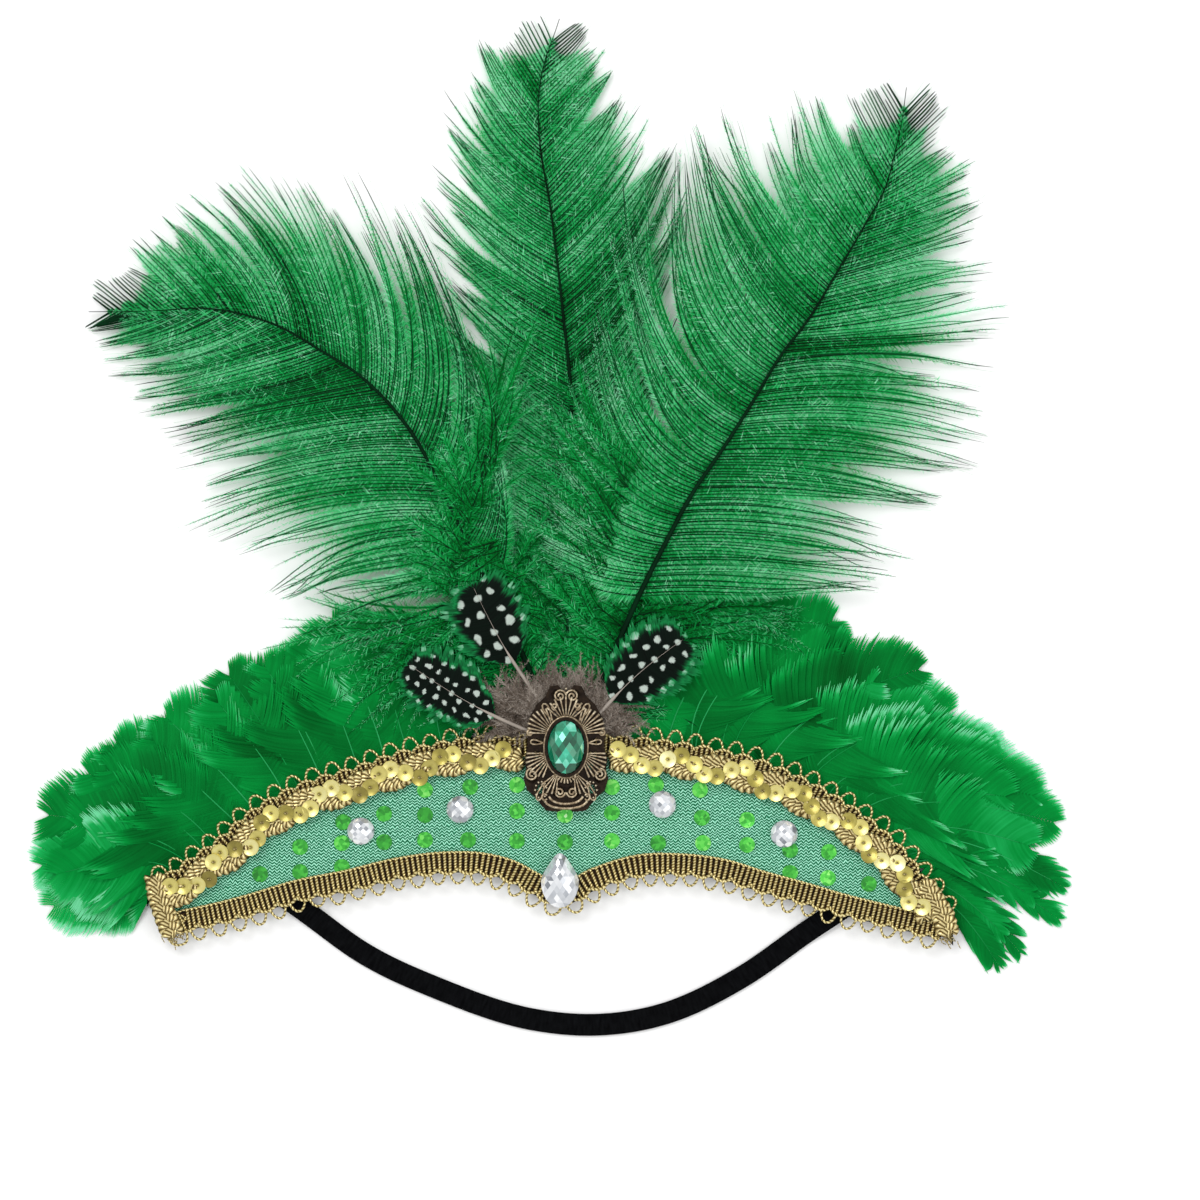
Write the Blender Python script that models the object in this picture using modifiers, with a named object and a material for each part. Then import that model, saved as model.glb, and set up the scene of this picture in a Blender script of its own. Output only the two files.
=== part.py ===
"""Feather headband lying flat on its back: a felt-backed band with braid, sequin cords and stones,
a filigree brooch, three ostrich plumes, two goose feather clusters, three guinea feathers and an
elastic strap.

Metres, +Z up. X runs along the band and +Y runs from the band to the plume tips. The origin is on
the back face of the felt backing, the face that lies against the forehead, here on the floor.
"""

import math

import bmesh
import bpy
import numpy as np
from mathutils import Vector

CLEAR = 0.0003  # gap between pieces that touch
BAND_LENGTH = 0.2620
BAND_HEIGHT = 0.0560  # at the middle
FELT_THICK = 0.0030
LEDGE_THICK = 0.0010  # felt left under the feather roots and the strap ends
LEDGE_DEPTH = 0.0080
PANEL_THICK = 0.0010
PANEL_INSET = 0.0006
GIMP_THICK = 0.0010
GIMP_WIDTH = 0.0066
GIMP_INSET = 0.0005
LOOP_PITCH = 0.0065
LOOP_REACH = 0.0036
CORD_WIDTH = 0.0084
CORD_THICK = 0.0012
CORD_INSET = 0.0066  # from the band's upper edge to the cord's middle line
CORD_WAVE = 0.0012
SEQUIN_WIDTH = 0.0055
SEQUIN_THICK = 0.0007
SEQUIN_SPACING = 0.0041
SEQUIN_SWING = 0.0027
SWING_PERIOD = 0.0200
PLUME_LENGTHS = {"centre": 0.2401, "left": 0.2324, "right": 0.2429}
PLUME_THICK = 0.0026  # at the rachis
PLUME_EDGE = 0.5  # share of that at the tips of the locks
PLUME_ROOT_SHARE = 0.58  # share of that inside the band
PLUME_LIFT = 0.0090  # height of the rachis above where a lock rests on the floor
PLUME_REST = 0.0009
PLUME_LOCKS = 11
LOCK_NOTCH = 0.13
ROOT_DEPTH = 0.0060  # how far a feather root reaches into the band
GOOSE_REACH = 0.0800
GOOSE_THICK = 0.0012
GOOSE_RISE_RUN = 0.02  # how far past the braid a goose feather climbs to its arch
GOOSE_ARCH = 0.0056
GOOSE_NOTCH = 0.10
GUINEA_THICK = 0.0009
GUINEA_QUILL = 0.0012
GUINEA_LENGTH = 0.0500
BROOCH_WIDTH = 0.0270
BROOCH_HEIGHT = 0.0420
BROOCH_THICK = 0.0010
BROOCH_RISE = 0.0076  # underside of the filigree above the felt's back face
BROOCH_BOSS = 0.0090
BEZEL_WALL = 0.0008
BEZEL_HEIGHT = 0.0022
SCROLL_WIRE = 0.0005
BROOCH_STONE_WIDTH = 0.0117
BROOCH_STONE_HEIGHT = 0.0172
BROOCH_STONE_THICK = 0.0052
DROP_WIDTH = 0.0124
DROP_HEIGHT = 0.0178
DROP_THICK = 0.0048
ROUND_WIDTH = 0.0088
ROUND_THICK = 0.0034
STRAP_WIDTH = 0.0071
STRAP_THICK = 0.0010
STRAP_DROP = 0.0468  # lowest point of the loop below the line between its ends
STRAP_SLACK = 0.0010
STRAP_CLEAR_RUN = 0.0012  # how far past the band's edge the strap stays at its seat's height
STRAP_FALL_RUN = 0.009  # and over what distance it comes down to the surface

# Band outline. Columns: along as a share of BAND_LENGTH; upper edge, lower edge as shares of BAND_HEIGHT.
BAND = (
    (-0.512, -0.360, -0.384),
    (-0.497, -0.326, -0.535),
    (-0.482, -0.302, -0.657),
    (-0.460, -0.227, -0.640),
    (-0.429, -0.128, -0.610),
    (-0.385, 0.047, -0.558),
    (-0.323, 0.209, -0.471),
    (-0.261, 0.297, -0.413),
    (-0.199, 0.395, -0.343),
    (-0.137, 0.459, -0.308),
    (-0.099, 0.483, -0.314),
    (-0.068, 0.488, -0.349),
    (-0.037, 0.494, -0.424),
    (0.000, 0.500, -0.500),
    (0.050, 0.494, -0.395),
    (0.099, 0.477, -0.326),
    (0.149, 0.448, -0.320),
    (0.199, 0.407, -0.349),
    (0.248, 0.349, -0.419),
    (0.298, 0.250, -0.483),
    (0.348, 0.122, -0.552),
    (0.398, -0.047, -0.610),
    (0.429, -0.186, -0.645),
    (0.453, -0.331, -0.674),
    (0.476, -0.477, -0.680),
    (0.488, -0.581, -0.634),
)
# Plumes. Columns: place along the rachis; rachis x, y from its root and its lift; then the x, y from
# the rachis and the lift of the barb tip on the left and on the right of it. Lengths are shares of
# the plume's length and lifts are shares of PLUME_LIFT. The number ahead of each table is where on
# the band the root is, as a share of BAND_LENGTH.
PLUMES = {
    "centre": (
        0.0075,
        (
            (0.000, 0.000, 0.000, 0.140, -0.005, 0.000, 0.140, 0.005, 0.000, 0.140),
            (0.099, 0.001, 0.099, 0.210, -0.005, 0.000, 0.210, 0.005, 0.000, 0.210),
            (0.218, 0.003, 0.218, 0.320, -0.081, 0.041, 0.300, 0.081, 0.041, 0.300),
            (0.372, 0.005, 0.372, 0.400, -0.152, 0.079, 0.300, 0.149, 0.106, 0.300),
            (0.475, 0.007, 0.475, 0.420, -0.181, 0.097, 0.250, 0.176, 0.141, 0.250),
            (0.595, -0.004, 0.594, 0.400, -0.180, 0.080, 0.100, 0.187, 0.143, 0.150),
            (0.666, -0.012, 0.665, 0.360, -0.172, 0.077, 0.030, 0.150, 0.138, 0.080),
            (0.752, -0.023, 0.750, 0.320, -0.150, 0.073, 0.030, 0.123, 0.093, 0.030),
            (0.815, -0.034, 0.812, 0.280, -0.116, 0.072, 0.030, 0.114, 0.085, 0.030),
            (0.892, -0.037, 0.889, 0.220, -0.080, 0.060, 0.030, 0.084, 0.062, 0.030),
            (0.947, -0.027, 0.943, 0.160, -0.051, 0.038, 0.040, 0.046, 0.035, 0.040),
            (1.000, -0.009, 0.994, 0.090, -0.011, 0.004, 0.070, 0.008, -0.003, 0.070),
        ),
    ),
    "left": (
        -0.0125,
        (
            (0.000, 0.000, 0.000, 0.140, -0.006, 0.000, 0.140, 0.006, 0.000, 0.140),
            (0.075, -0.014, 0.074, 0.220, -0.006, 0.000, 0.220, 0.006, 0.000, 0.220),
            (0.135, -0.035, 0.130, 0.450, -0.011, 0.006, 0.450, 0.011, 0.006, 0.450),
            (0.245, -0.084, 0.228, 0.860, -0.231, -0.042, 0.900, -0.014, 0.238, 0.900),
            (0.320, -0.117, 0.295, 0.950, -0.256, -0.049, 0.850, -0.025, 0.301, 0.850),
            (0.393, -0.148, 0.362, 1.000, -0.320, -0.050, 0.500, -0.034, 0.341, 0.750),
            (0.497, -0.197, 0.453, 1.000, -0.306, -0.055, 0.080, -0.048, 0.313, 0.350),
            (0.604, -0.271, 0.531, 0.950, -0.281, -0.059, 0.030, -0.078, 0.263, 0.080),
            (0.664, -0.322, 0.563, 0.880, -0.245, -0.059, 0.030, -0.119, 0.224, 0.030),
            (0.724, -0.373, 0.593, 0.780, -0.210, -0.060, 0.030, -0.123, 0.173, 0.030),
            (0.834, -0.480, 0.621, 0.500, -0.133, -0.050, 0.030, -0.094, 0.096, 0.030),
            (0.909, -0.555, 0.618, 0.300, -0.085, -0.022, 0.030, -0.063, 0.050, 0.030),
            (1.000, -0.646, 0.617, 0.090, -0.004, -0.008, 0.070, -0.004, 0.008, 0.070),
        ),
    ),
    "right": (
        0.0325,
        (
            (0.000, 0.000, 0.000, 0.140, -0.005, 0.000, 0.140, 0.005, 0.000, 0.140),
            (0.044, 0.005, 0.044, 0.180, -0.005, 0.000, 0.180, 0.005, 0.000, 0.180),
            (0.100, 0.021, 0.098, 0.350, -0.005, 0.000, 0.350, 0.005, 0.000, 0.350),
            (0.145, 0.039, 0.139, 0.620, -0.013, 0.005, 0.620, 0.013, -0.003, 0.620),
            (0.221, 0.070, 0.209, 0.880, -0.124, 0.036, 0.880, 0.254, -0.007, 0.850),
            (0.302, 0.106, 0.281, 0.980, -0.161, 0.098, 0.950, 0.288, -0.050, 0.600),
            (0.377, 0.142, 0.347, 1.000, -0.150, 0.233, 0.900, 0.285, -0.072, 0.150),
            (0.458, 0.187, 0.413, 1.000, -0.155, 0.286, 0.850, 0.286, -0.072, 0.030),
            (0.525, 0.223, 0.470, 1.000, -0.138, 0.317, 0.800, 0.284, -0.064, 0.030),
            (0.596, 0.260, 0.531, 0.980, -0.120, 0.256, 0.700, 0.281, -0.066, 0.030),
            (0.655, 0.296, 0.578, 0.950, -0.139, 0.238, 0.500, 0.264, -0.059, 0.030),
            (0.732, 0.336, 0.644, 0.880, -0.123, 0.205, 0.200, 0.198, -0.029, 0.030),
            (0.803, 0.372, 0.705, 0.750, -0.086, 0.173, 0.030, 0.153, 0.015, 0.030),
            (0.862, 0.400, 0.756, 0.600, -0.063, 0.122, 0.030, 0.100, 0.059, 0.030),
            (0.910, 0.413, 0.803, 0.450, -0.036, 0.072, 0.040, 0.056, 0.056, 0.040),
            (0.957, 0.423, 0.848, 0.280, -0.016, 0.029, 0.080, 0.027, 0.024, 0.080),
            (1.000, 0.429, 0.891, 0.120, -0.005, 0.000, 0.100, 0.005, 0.000, 0.100),
        ),
    ),
}
# Goose feathers, one row a feather. Columns: root along the band as a share of BAND_LENGTH; tip x, y
# from the band's upper edge above that root, as shares of GOOSE_REACH.
GOOSE = {
    "left": (
        (-0.493, -0.256, -0.191),
        (-0.484, -0.552, -0.111),
        (-0.475, -0.613, 0.023),
        (-0.461, -0.585, 0.194),
        (-0.443, -0.524, 0.346),
        (-0.415, -0.463, 0.405),
        (-0.380, -0.382, 0.397),
        (-0.338, -0.309, 0.462),
        (-0.296, -0.244, 0.469),
        (-0.258, -0.203, 0.554),
        (-0.224, -0.203, 0.572),
        (-0.180, -0.118, 0.490),
        (-0.130, -0.061, 0.424),
        (-0.075, -0.049, 0.350),
    ),
    "right": (
        (0.075, 0.041, 0.351),
        (0.106, 0.183, 0.449),
        (0.143, 0.284, 0.546),
        (0.176, 0.398, 0.597),
        (0.209, 0.447, 0.569),
        (0.242, 0.435, 0.434),
        (0.278, 0.573, 0.415),
        (0.313, 0.593, 0.315),
        (0.345, 0.666, 0.186),
        (0.373, 0.756, 0.087),
        (0.398, 0.764, -0.016),
        (0.420, 0.715, -0.133),
        (0.437, 0.626, -0.241),
        (0.455, 0.414, -0.299),
        (0.468, 0.276, -0.326),
    ),
}
# Guinea feathers. Columns: seat x, y from the brooch's middle and tip x, y from it as shares of
# GUINEA_LENGTH; where the vane starts along the feather; half its width as a share of GUINEA_LENGTH;
# height of the vane as a share of BROOCH_RISE.
GUINEA = {
    "top": (-0.065, 0.162, -0.598, 1.034, 0.45, 0.235, 1.530),
    "left": (-0.136, 0.058, -1.014, 0.533, 0.35, 0.195, 1.290),
    "right": (0.156, 0.143, 0.754, 0.696, 0.25, 0.220, 1.320),
}
# Strap's middle line. Columns: along as a share of BAND_LENGTH; drop as a share of STRAP_DROP.
STRAP = (
    (-0.391, 0.000),
    (-0.325, 0.247),
    (-0.245, 0.556),
    (-0.149, 0.792),
    (-0.030, 0.983),
    (0.050, 1.000),
    (0.133, 0.903),
    (0.227, 0.632),
    (0.311, 0.288),
    (0.385, 0.000),
)
STRAP_SEATS = (0.47, 0.31)  # height of the two ends on the band, as shares of its height there
# Right half of the filigree's outline. Columns: x as a share of BROOCH_WIDTH, y of BROOCH_HEIGHT.
BROOCH_OUTLINE = (
    (0.000, 0.395),
    (0.095, 0.480),
    (0.190, 0.470),
    (0.250, 0.390),
    (0.350, 0.330),
    (0.430, 0.240),
    (0.465, 0.120),
    (0.460, 0.000),
    (0.500, -0.090),
    (0.480, -0.170),
    (0.510, -0.240),
    (0.470, -0.330),
    (0.370, -0.390),
    (0.240, -0.490),
    (0.100, -0.500),
    (0.000, -0.475),
)
# Spiral scrolls of the right half. Columns: x as a share of BROOCH_WIDTH, y of BROOCH_HEIGHT; radius
# as a share of BROOCH_WIDTH; the angle in turns where the spiral leaves.
SCROLLS = (
    (0.100, 0.405, 0.075, 0.70),
    (0.415, -0.235, 0.065, 0.40),
    (0.095, -0.350, 0.075, 0.30),
)
# Stones. Columns: along as a share of BAND_LENGTH; height on the band as a share of its height there.
ROUND_STONES = ((-0.247, 0.465), (-0.124, 0.475), (0.127, 0.523), (0.278, 0.502))
BROOCH_PLACE = (0.0075, 0.924)
DROP_PLACE = (0.0, 0.151)

# Heights.
PANEL_BOTTOM = FELT_THICK + CLEAR
PANEL_TOP = PANEL_BOTTOM + PANEL_THICK
GIMP_BOTTOM = PANEL_TOP + CLEAR
GIMP_TOP = GIMP_BOTTOM + GIMP_THICK
CORD_BOTTOM = GIMP_TOP + CLEAR
CORD_TOP = CORD_BOTTOM + CORD_THICK
ROOT_HEIGHT = (LEDGE_THICK + FELT_THICK) / 2 + CLEAR / 2

for old in list(bpy.data.objects):
    bpy.data.objects.remove(old, do_unlink=True)
parts = bpy.data.collections.new("feather_headband")
cutters = bpy.data.collections.new("cutters")
bpy.context.scene.collection.children.link(parts)
bpy.context.scene.collection.children.link(cutters)
cutters.hide_render = True


def paint(name, colour, roughness, metallic=0.0, transmission=0.0):
    """A Principled material."""
    material = bpy.data.materials.new(name)
    material.use_nodes = True
    shader = material.node_tree.nodes["Principled BSDF"]
    shader.inputs["Base Color"].default_value = (*colour, 1.0)
    shader.inputs["Roughness"].default_value = roughness
    shader.inputs["Metallic"].default_value = metallic
    shader.inputs["Transmission Weight"].default_value = transmission
    return material


FELT = paint("black_felt", (0.004, 0.004, 0.004), 0.95)
SATIN = paint("mint_weave", (0.12, 0.50, 0.30), 0.55)
GOLD = paint("antique_gold_thread", (0.42, 0.28, 0.09), 0.40, 0.7)
SEQUIN = paint("gold_sequin", (0.68, 0.52, 0.15), 0.25, 0.8)
BRONZE = paint("antique_bronze", (0.10, 0.075, 0.05), 0.40, 1.0)
GREEN_STONE = paint("green_acrylic", (0.01, 0.30, 0.18), 0.05, 0.0, 0.4)
CLEAR_STONE = paint("clear_acrylic", (0.75, 0.77, 0.80), 0.03, 0.0, 0.6)
OSTRICH = paint("green_ostrich", (0.01, 0.27, 0.08), 0.70)
GOOSE_GREEN = paint("green_goose", (0.0, 0.24, 0.05), 0.60)
GUINEA_BLACK = paint("spotted_guinea", (0.01, 0.03, 0.015), 0.60)
ELASTIC = paint("black_elastic", (0.005, 0.005, 0.006), 0.85)


def read(table, at):
    """A table's row at a value of its first column, on a smooth cubic through its rows."""
    rows = np.array(table)
    x = rows[:, 0]
    slopes = np.gradient(rows, x, axis=0)
    i = int(np.clip(np.searchsorted(x, at) - 1, 0, len(x) - 2))
    step = x[i + 1] - x[i]
    t = (at - x[i]) / step
    start = (1 + 2 * t) * (1 - t) ** 2 * rows[i] + t * (1 - t) ** 2 * step * slopes[i]
    end = t * t * (3 - 2 * t) * rows[i + 1] - t * t * (1 - t) * step * slopes[i + 1]
    return start + end


def smooth(x):
    """A smooth step from 0 to 1."""
    x = min(max(x, 0.0), 1.0)
    return x * x * (3 - 2 * x)


def edges(along):
    """The band's x, upper y and lower y at a share of its length."""
    along = min(max(along, BAND[0][0]), BAND[-1][0])
    _, upper, lower = read(BAND, along)
    return along * BAND_LENGTH, upper * BAND_HEIGHT, lower * BAND_HEIGHT


def on_band(along, height):
    """A point of the band's face, at a share of its length and of its height there."""
    x, upper, lower = edges(along)
    return np.array((x, lower + height * (upper - lower)))


def edge_line(side, first, last, inward):
    """Dense points of the band's upper (1) or lower (-1) edge, moved inward, from one share to another."""
    along = np.linspace(first, last, 400)
    line = np.array([(edges(a)[0], edges(a)[1 if side > 0 else 2]) for a in along])
    way = np.gradient(line, axis=0)
    way /= np.linalg.norm(way, axis=1)[:, None]
    normal = np.stack((way[:, 1], -way[:, 0]), axis=1) * side
    return line + normal * inward, -normal


def spaced(line, count):
    """Shares of a line's points that cut it into equal lengths, and its whole length."""
    run = np.concatenate(([0], np.cumsum(np.linalg.norm(np.diff(line, axis=0), axis=1))))
    return np.interp(np.linspace(0, run[-1], count), run, np.arange(len(line))), run[-1]


def at(values, index):
    """Rows of an array at fractional indices."""
    index = np.atleast_1d(index)
    low = np.clip(index.astype(int), 0, len(values) - 2)
    part = (index - low)[:, None]
    return values[low] * (1 - part) + values[low + 1] * part


def add(name, mesh, material, collection=parts):
    """An object for a mesh, in a collection."""
    mesh.name = name
    mesh.materials.clear()
    mesh.materials.append(material)
    obj = bpy.data.objects.new(name, mesh)
    collection.objects.link(obj)
    if collection is cutters:
        obj.hide_render = True
        obj.display_type = "WIRE"
    return obj


def mesh_of(curve):
    """The mesh of a curve, with its caps welded to its sides."""
    obj = bpy.data.objects.new("curve", curve)
    bpy.context.scene.collection.objects.link(obj)
    graph = bpy.context.evaluated_depsgraph_get()
    mesh = bpy.data.meshes.new_from_object(obj.evaluated_get(graph))
    bpy.data.objects.remove(obj)
    bm = bmesh.new()
    bm.from_mesh(mesh)
    bmesh.ops.remove_doubles(bm, verts=bm.verts, dist=1e-6)
    bmesh.ops.recalc_face_normals(bm, faces=bm.faces)
    bm.to_mesh(mesh)
    bm.free()
    return mesh


def flat(outlines, bottom, top):
    """The mesh of a flat piece between two heights, from its outline and the outlines of its holes."""
    curve = bpy.data.curves.new("outline", "CURVE")
    curve.dimensions = "2D"
    curve.fill_mode = "BOTH"
    curve.extrude = (top - bottom) / 2
    for outline in outlines:
        spline = curve.splines.new("POLY")
        spline.points.add(len(outline) - 1)
        for point, (x, y) in zip(spline.points, outline):
            point.co = (x, y, 0.0, 1.0)
        spline.use_cyclic_u = True
    mesh = mesh_of(curve)
    for vertex in mesh.vertices:
        vertex.co.z += (top + bottom) / 2
    return mesh


def wire(points, radius):
    """The mesh of a round wire through points."""
    curve = bpy.data.curves.new("wire", "CURVE")
    curve.dimensions = "3D"
    curve.bevel_depth = radius
    curve.bevel_resolution = 0
    curve.use_fill_caps = True
    spline = curve.splines.new("POLY")
    spline.points.add(len(points) - 1)
    for point, (x, y, z) in zip(spline.points, points):
        point.co = (x, y, z, 1.0)
    return mesh_of(curve)


def gathered(meshes):
    """One mesh of several."""
    bm = bmesh.new()
    for mesh in meshes:
        bm.from_mesh(mesh)
    whole = bpy.data.meshes.new("gathered")
    bm.to_mesh(whole)
    bm.free()
    return whole


def boolean(obj, other, operation, self_crossing=False):
    """A live Boolean with the exact solver."""
    modifier = obj.modifiers.new(operation.lower(), "BOOLEAN")
    modifier.operation = operation
    modifier.solver = "EXACT"
    modifier.use_self = self_crossing
    modifier.object = other


def sheet(rows, columns, place):
    """An open surface: a grid whose points go to place(u, v), u and v from 0 to 1, with the shares of
    thickness that place returns in a vertex group."""
    bm = bmesh.new()
    bmesh.ops.create_grid(bm, x_segments=rows, y_segments=columns, size=1.0)
    weights = []
    for vertex in bm.verts:
        x, y, z, weight = place((vertex.co.x + 1) / 2, (vertex.co.y + 1) / 2)
        vertex.co = (x, y, z)
        weights.append(weight)
    mesh = bpy.data.meshes.new("sheet")
    bm.to_mesh(mesh)
    bm.free()
    return mesh, weights


def thicken(name, rows, columns, place, thickness, material, collection=parts):
    """A sheet made solid on both sides of its surface."""
    mesh, weights = sheet(rows, columns, place)
    obj = add(name, mesh, material, collection)
    group = obj.vertex_groups.new(name="thickness")
    for index, weight in enumerate(weights):
        group.add([index], weight, "REPLACE")
    modifier = obj.modifiers.new("thickness", "SOLIDIFY")
    modifier.thickness = thickness
    modifier.offset = 0.0
    modifier.vertex_group = "thickness"
    return obj


# Band.
def band_outline(inset, stations=36):
    """The band's closed outline, moved inward."""
    first = BAND[0][0]
    last = BAND[-1][0]
    upper = edge_line(1, first, last, inset)[0]
    lower = edge_line(-1, first, last, inset)[0]
    upper = at(upper, spaced(upper, stations)[0])
    lower = at(lower, spaced(lower, stations)[0])
    return [tuple(p) for p in lower] + [tuple(p) for p in upper[::-1]]


felt = add("felt_backing", flat([band_outline(0.0)], 0.0, FELT_THICK), FELT)
first_share = BAND[0][0]
last_share = BAND[-1][0]
outer = edge_line(1, first_share, last_share, -ROOT_DEPTH)[0]
inner = edge_line(1, first_share, last_share, LEDGE_DEPTH)[0]
outer = at(outer, spaced(outer, 44)[0])
inner = at(inner, spaced(inner, 30)[0])
run_left = (inner[0] + outer[0]) / 2 - np.array((ROOT_DEPTH, ROOT_DEPTH))
run_right = (inner[-1] + outer[-1]) / 2 + np.array((ROOT_DEPTH, -ROOT_DEPTH / 2))
ledge_outline = [tuple(p) for p in (*inner, run_right, *outer[::-1], run_left)]
ledge = add("ledge_cutter", flat([ledge_outline], LEDGE_THICK, 2 * FELT_THICK), FELT, cutters)
boolean(felt, ledge, "DIFFERENCE")

add("fabric_panel", flat([band_outline(PANEL_INSET)], PANEL_BOTTOM, PANEL_TOP), SATIN)


# Braids.
def gimp(name, side, first, last):
    """A flat braid along one edge, with a row of picot loops that stand past the edge."""
    line, out = edge_line(side, first, last, GIMP_INSET)
    back = edge_line(side, first, last, GIMP_INSET + GIMP_WIDTH)[0]
    length = spaced(line, 2)[1]
    loops = int(length / LOOP_PITCH)
    index = spaced(line, loops * 40 + 1)[0]

    def beyond(loop, share, reach):
        where = index[int(round((loop + share) * 40))]
        return tuple((at(line, where) + at(out, where) * reach * LOOP_REACH)[0])

    outline = []
    holes = []
    for loop in range(loops):
        for share, reach in ((0.10, 0.0), (0.26, 0.92), (0.74, 0.92), (0.90, 0.0)):
            outline.append(beyond(loop, share, reach))
        hole = ((0.28, 0.10), (0.36, 0.66), (0.64, 0.66), (0.72, 0.10))
        holes.append([beyond(loop, share, reach) for share, reach in hole])
    outline.insert(0, tuple(line[0]))
    outline.append(tuple(line[-1]))
    outline += [tuple(p) for p in at(back, spaced(back, 34)[0])[::-1]]
    return add(name, flat([outline] + holes, GIMP_BOTTOM, GIMP_TOP), GOLD)


gimp("lower_gimp_braid", -1, -0.478, 0.452)
gimp("upper_gimp_braid", 1, -0.500, 0.474)


# Sequin cords.
def sequin_cord(name, first, last):
    """A wavy flat cord with a zigzag row of overlapping sequins sunk into its face."""
    middle, out = edge_line(1, first, last, CORD_INSET)
    index, length = spaced(middle, 401)

    def across(share, offset):
        where = index[int(round(share * 400))]
        return (at(middle, where) + at(out, where) * offset)[0]

    def place(u, v):
        wave = CORD_WAVE * math.sin(2 * math.pi * u * length / SWING_PERIOD)
        x, y = across(u, (v - 0.5) * CORD_WIDTH + wave)
        return x, y, (CORD_BOTTOM + CORD_TOP) / 2, 1.0

    cord = thicken(name, int(length / SWING_PERIOD * 6), 1, place, CORD_THICK, SEQUIN)
    count = int((length - SEQUIN_WIDTH) / SEQUIN_SPACING) + 1
    discs = []
    for k in range(count):
        share = (SEQUIN_WIDTH / 2 + k * SEQUIN_SPACING) / length
        swing = SEQUIN_SWING * math.sin(2 * math.pi * share * length / SWING_PERIOD + 0.6)
        x, y = across(share, swing)
        bm = bmesh.new()
        bmesh.ops.create_cone(
            bm,
            cap_ends=True,
            segments=6,
            radius1=SEQUIN_WIDTH / 2,
            radius2=SEQUIN_WIDTH / 2,
            depth=SEQUIN_THICK,
        )
        height = CORD_TOP + SEQUIN_THICK * (0.10 + 0.32 * (k % 2))
        turn = 0.37 * k
        for vertex in bm.verts:
            px, py, pz = vertex.co
            vertex.co = (
                x + px * math.cos(turn) - py * math.sin(turn),
                y + px * math.sin(turn) + py * math.cos(turn),
                height + pz,
            )
        mesh = bpy.data.meshes.new("disc")
        bm.to_mesh(mesh)
        bm.free()
        discs.append(mesh)
    row = add(name + "_row", gathered(discs), SEQUIN, cutters)
    boolean(cord, row, "UNION", True)
    return cord


sequin_cord("sequin_cord_left", -0.493, -0.047)
sequin_cord("sequin_cord_right", 0.063, 0.468)


# Plumes.
def plume(side):
    """A quill that opens into a lobed vane. Each row is a pair of barbs that leave the rachis and
    bend towards the tip; every second row ends short, which parts the vane into locks."""
    root_along, table = PLUMES[side]
    length = PLUME_LENGTHS[side]
    x0, upper, _ = edges(root_along)
    root = np.array((x0, upper - ROOT_DEPTH))
    quill_end = next(row[0] for row in table if abs(row[4]) > 0.05)
    quill_rows = [row[0] for row in table if row[0] < quill_end]
    steps = 2 * PLUME_LOCKS
    stations = quill_rows + list(quill_end + (1 - quill_end) * np.linspace(0, 1, steps + 1) ** 0.92)
    columns = (-1.0, -0.62, -0.28, -0.05, 0.05, 0.28, 0.62, 1.0)

    def place(u, v):
        k = int(round(u * (len(stations) - 1)))
        t = columns[int(round(v * (len(columns) - 1)))]
        s = stations[k]
        row = read(table, s)
        ahead = read(table, min(s + 0.01, 1.0))
        behind = read(table, max(s - 0.01, 0.0))
        way = ahead[1:3] - behind[1:3]
        way = way / np.linalg.norm(way)
        rachis = row[1:3] * length + root
        tip = (row[4:7] if t < 0 else row[7:10]).copy()
        inside_vane = k >= len(quill_rows)
        if inside_vane:
            lock = k - len(quill_rows)
            if lock % 2 == 1:
                tip[0:2] *= 1 - LOCK_NOTCH
        offset = tip[0:2] * length
        reach = np.linalg.norm(offset)
        normal = np.array((-way[1], way[0])) * (1 if t < 0 else -1)
        leave = normal * 0.88 + way * 0.47
        bend = leave * reach * 0.42 * (1.0 if inside_vane else 0.0)
        a = abs(t)
        if abs(t) < 0.06:
            point = rachis + normal * 0.5 * PLUME_THICK
        else:
            point = rachis + 2 * a * (1 - a) * bend + a * a * offset
            if not inside_vane:
                point = rachis + normal * 0.5 * PLUME_THICK * (1 + a) * 0.8
        lift = row[3] * (1 - a * a) + tip[2] * a * a
        share = 1 - (1 - PLUME_EDGE) * a
        if not inside_vane:
            share = PLUME_ROOT_SHARE
        return point[0], point[1], PLUME_REST + lift * PLUME_LIFT, share

    return thicken("plume_" + side, len(stations) - 1, len(columns) - 1, place, PLUME_THICK, OSTRICH)


for side in PLUMES:
    plume(side)


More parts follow.
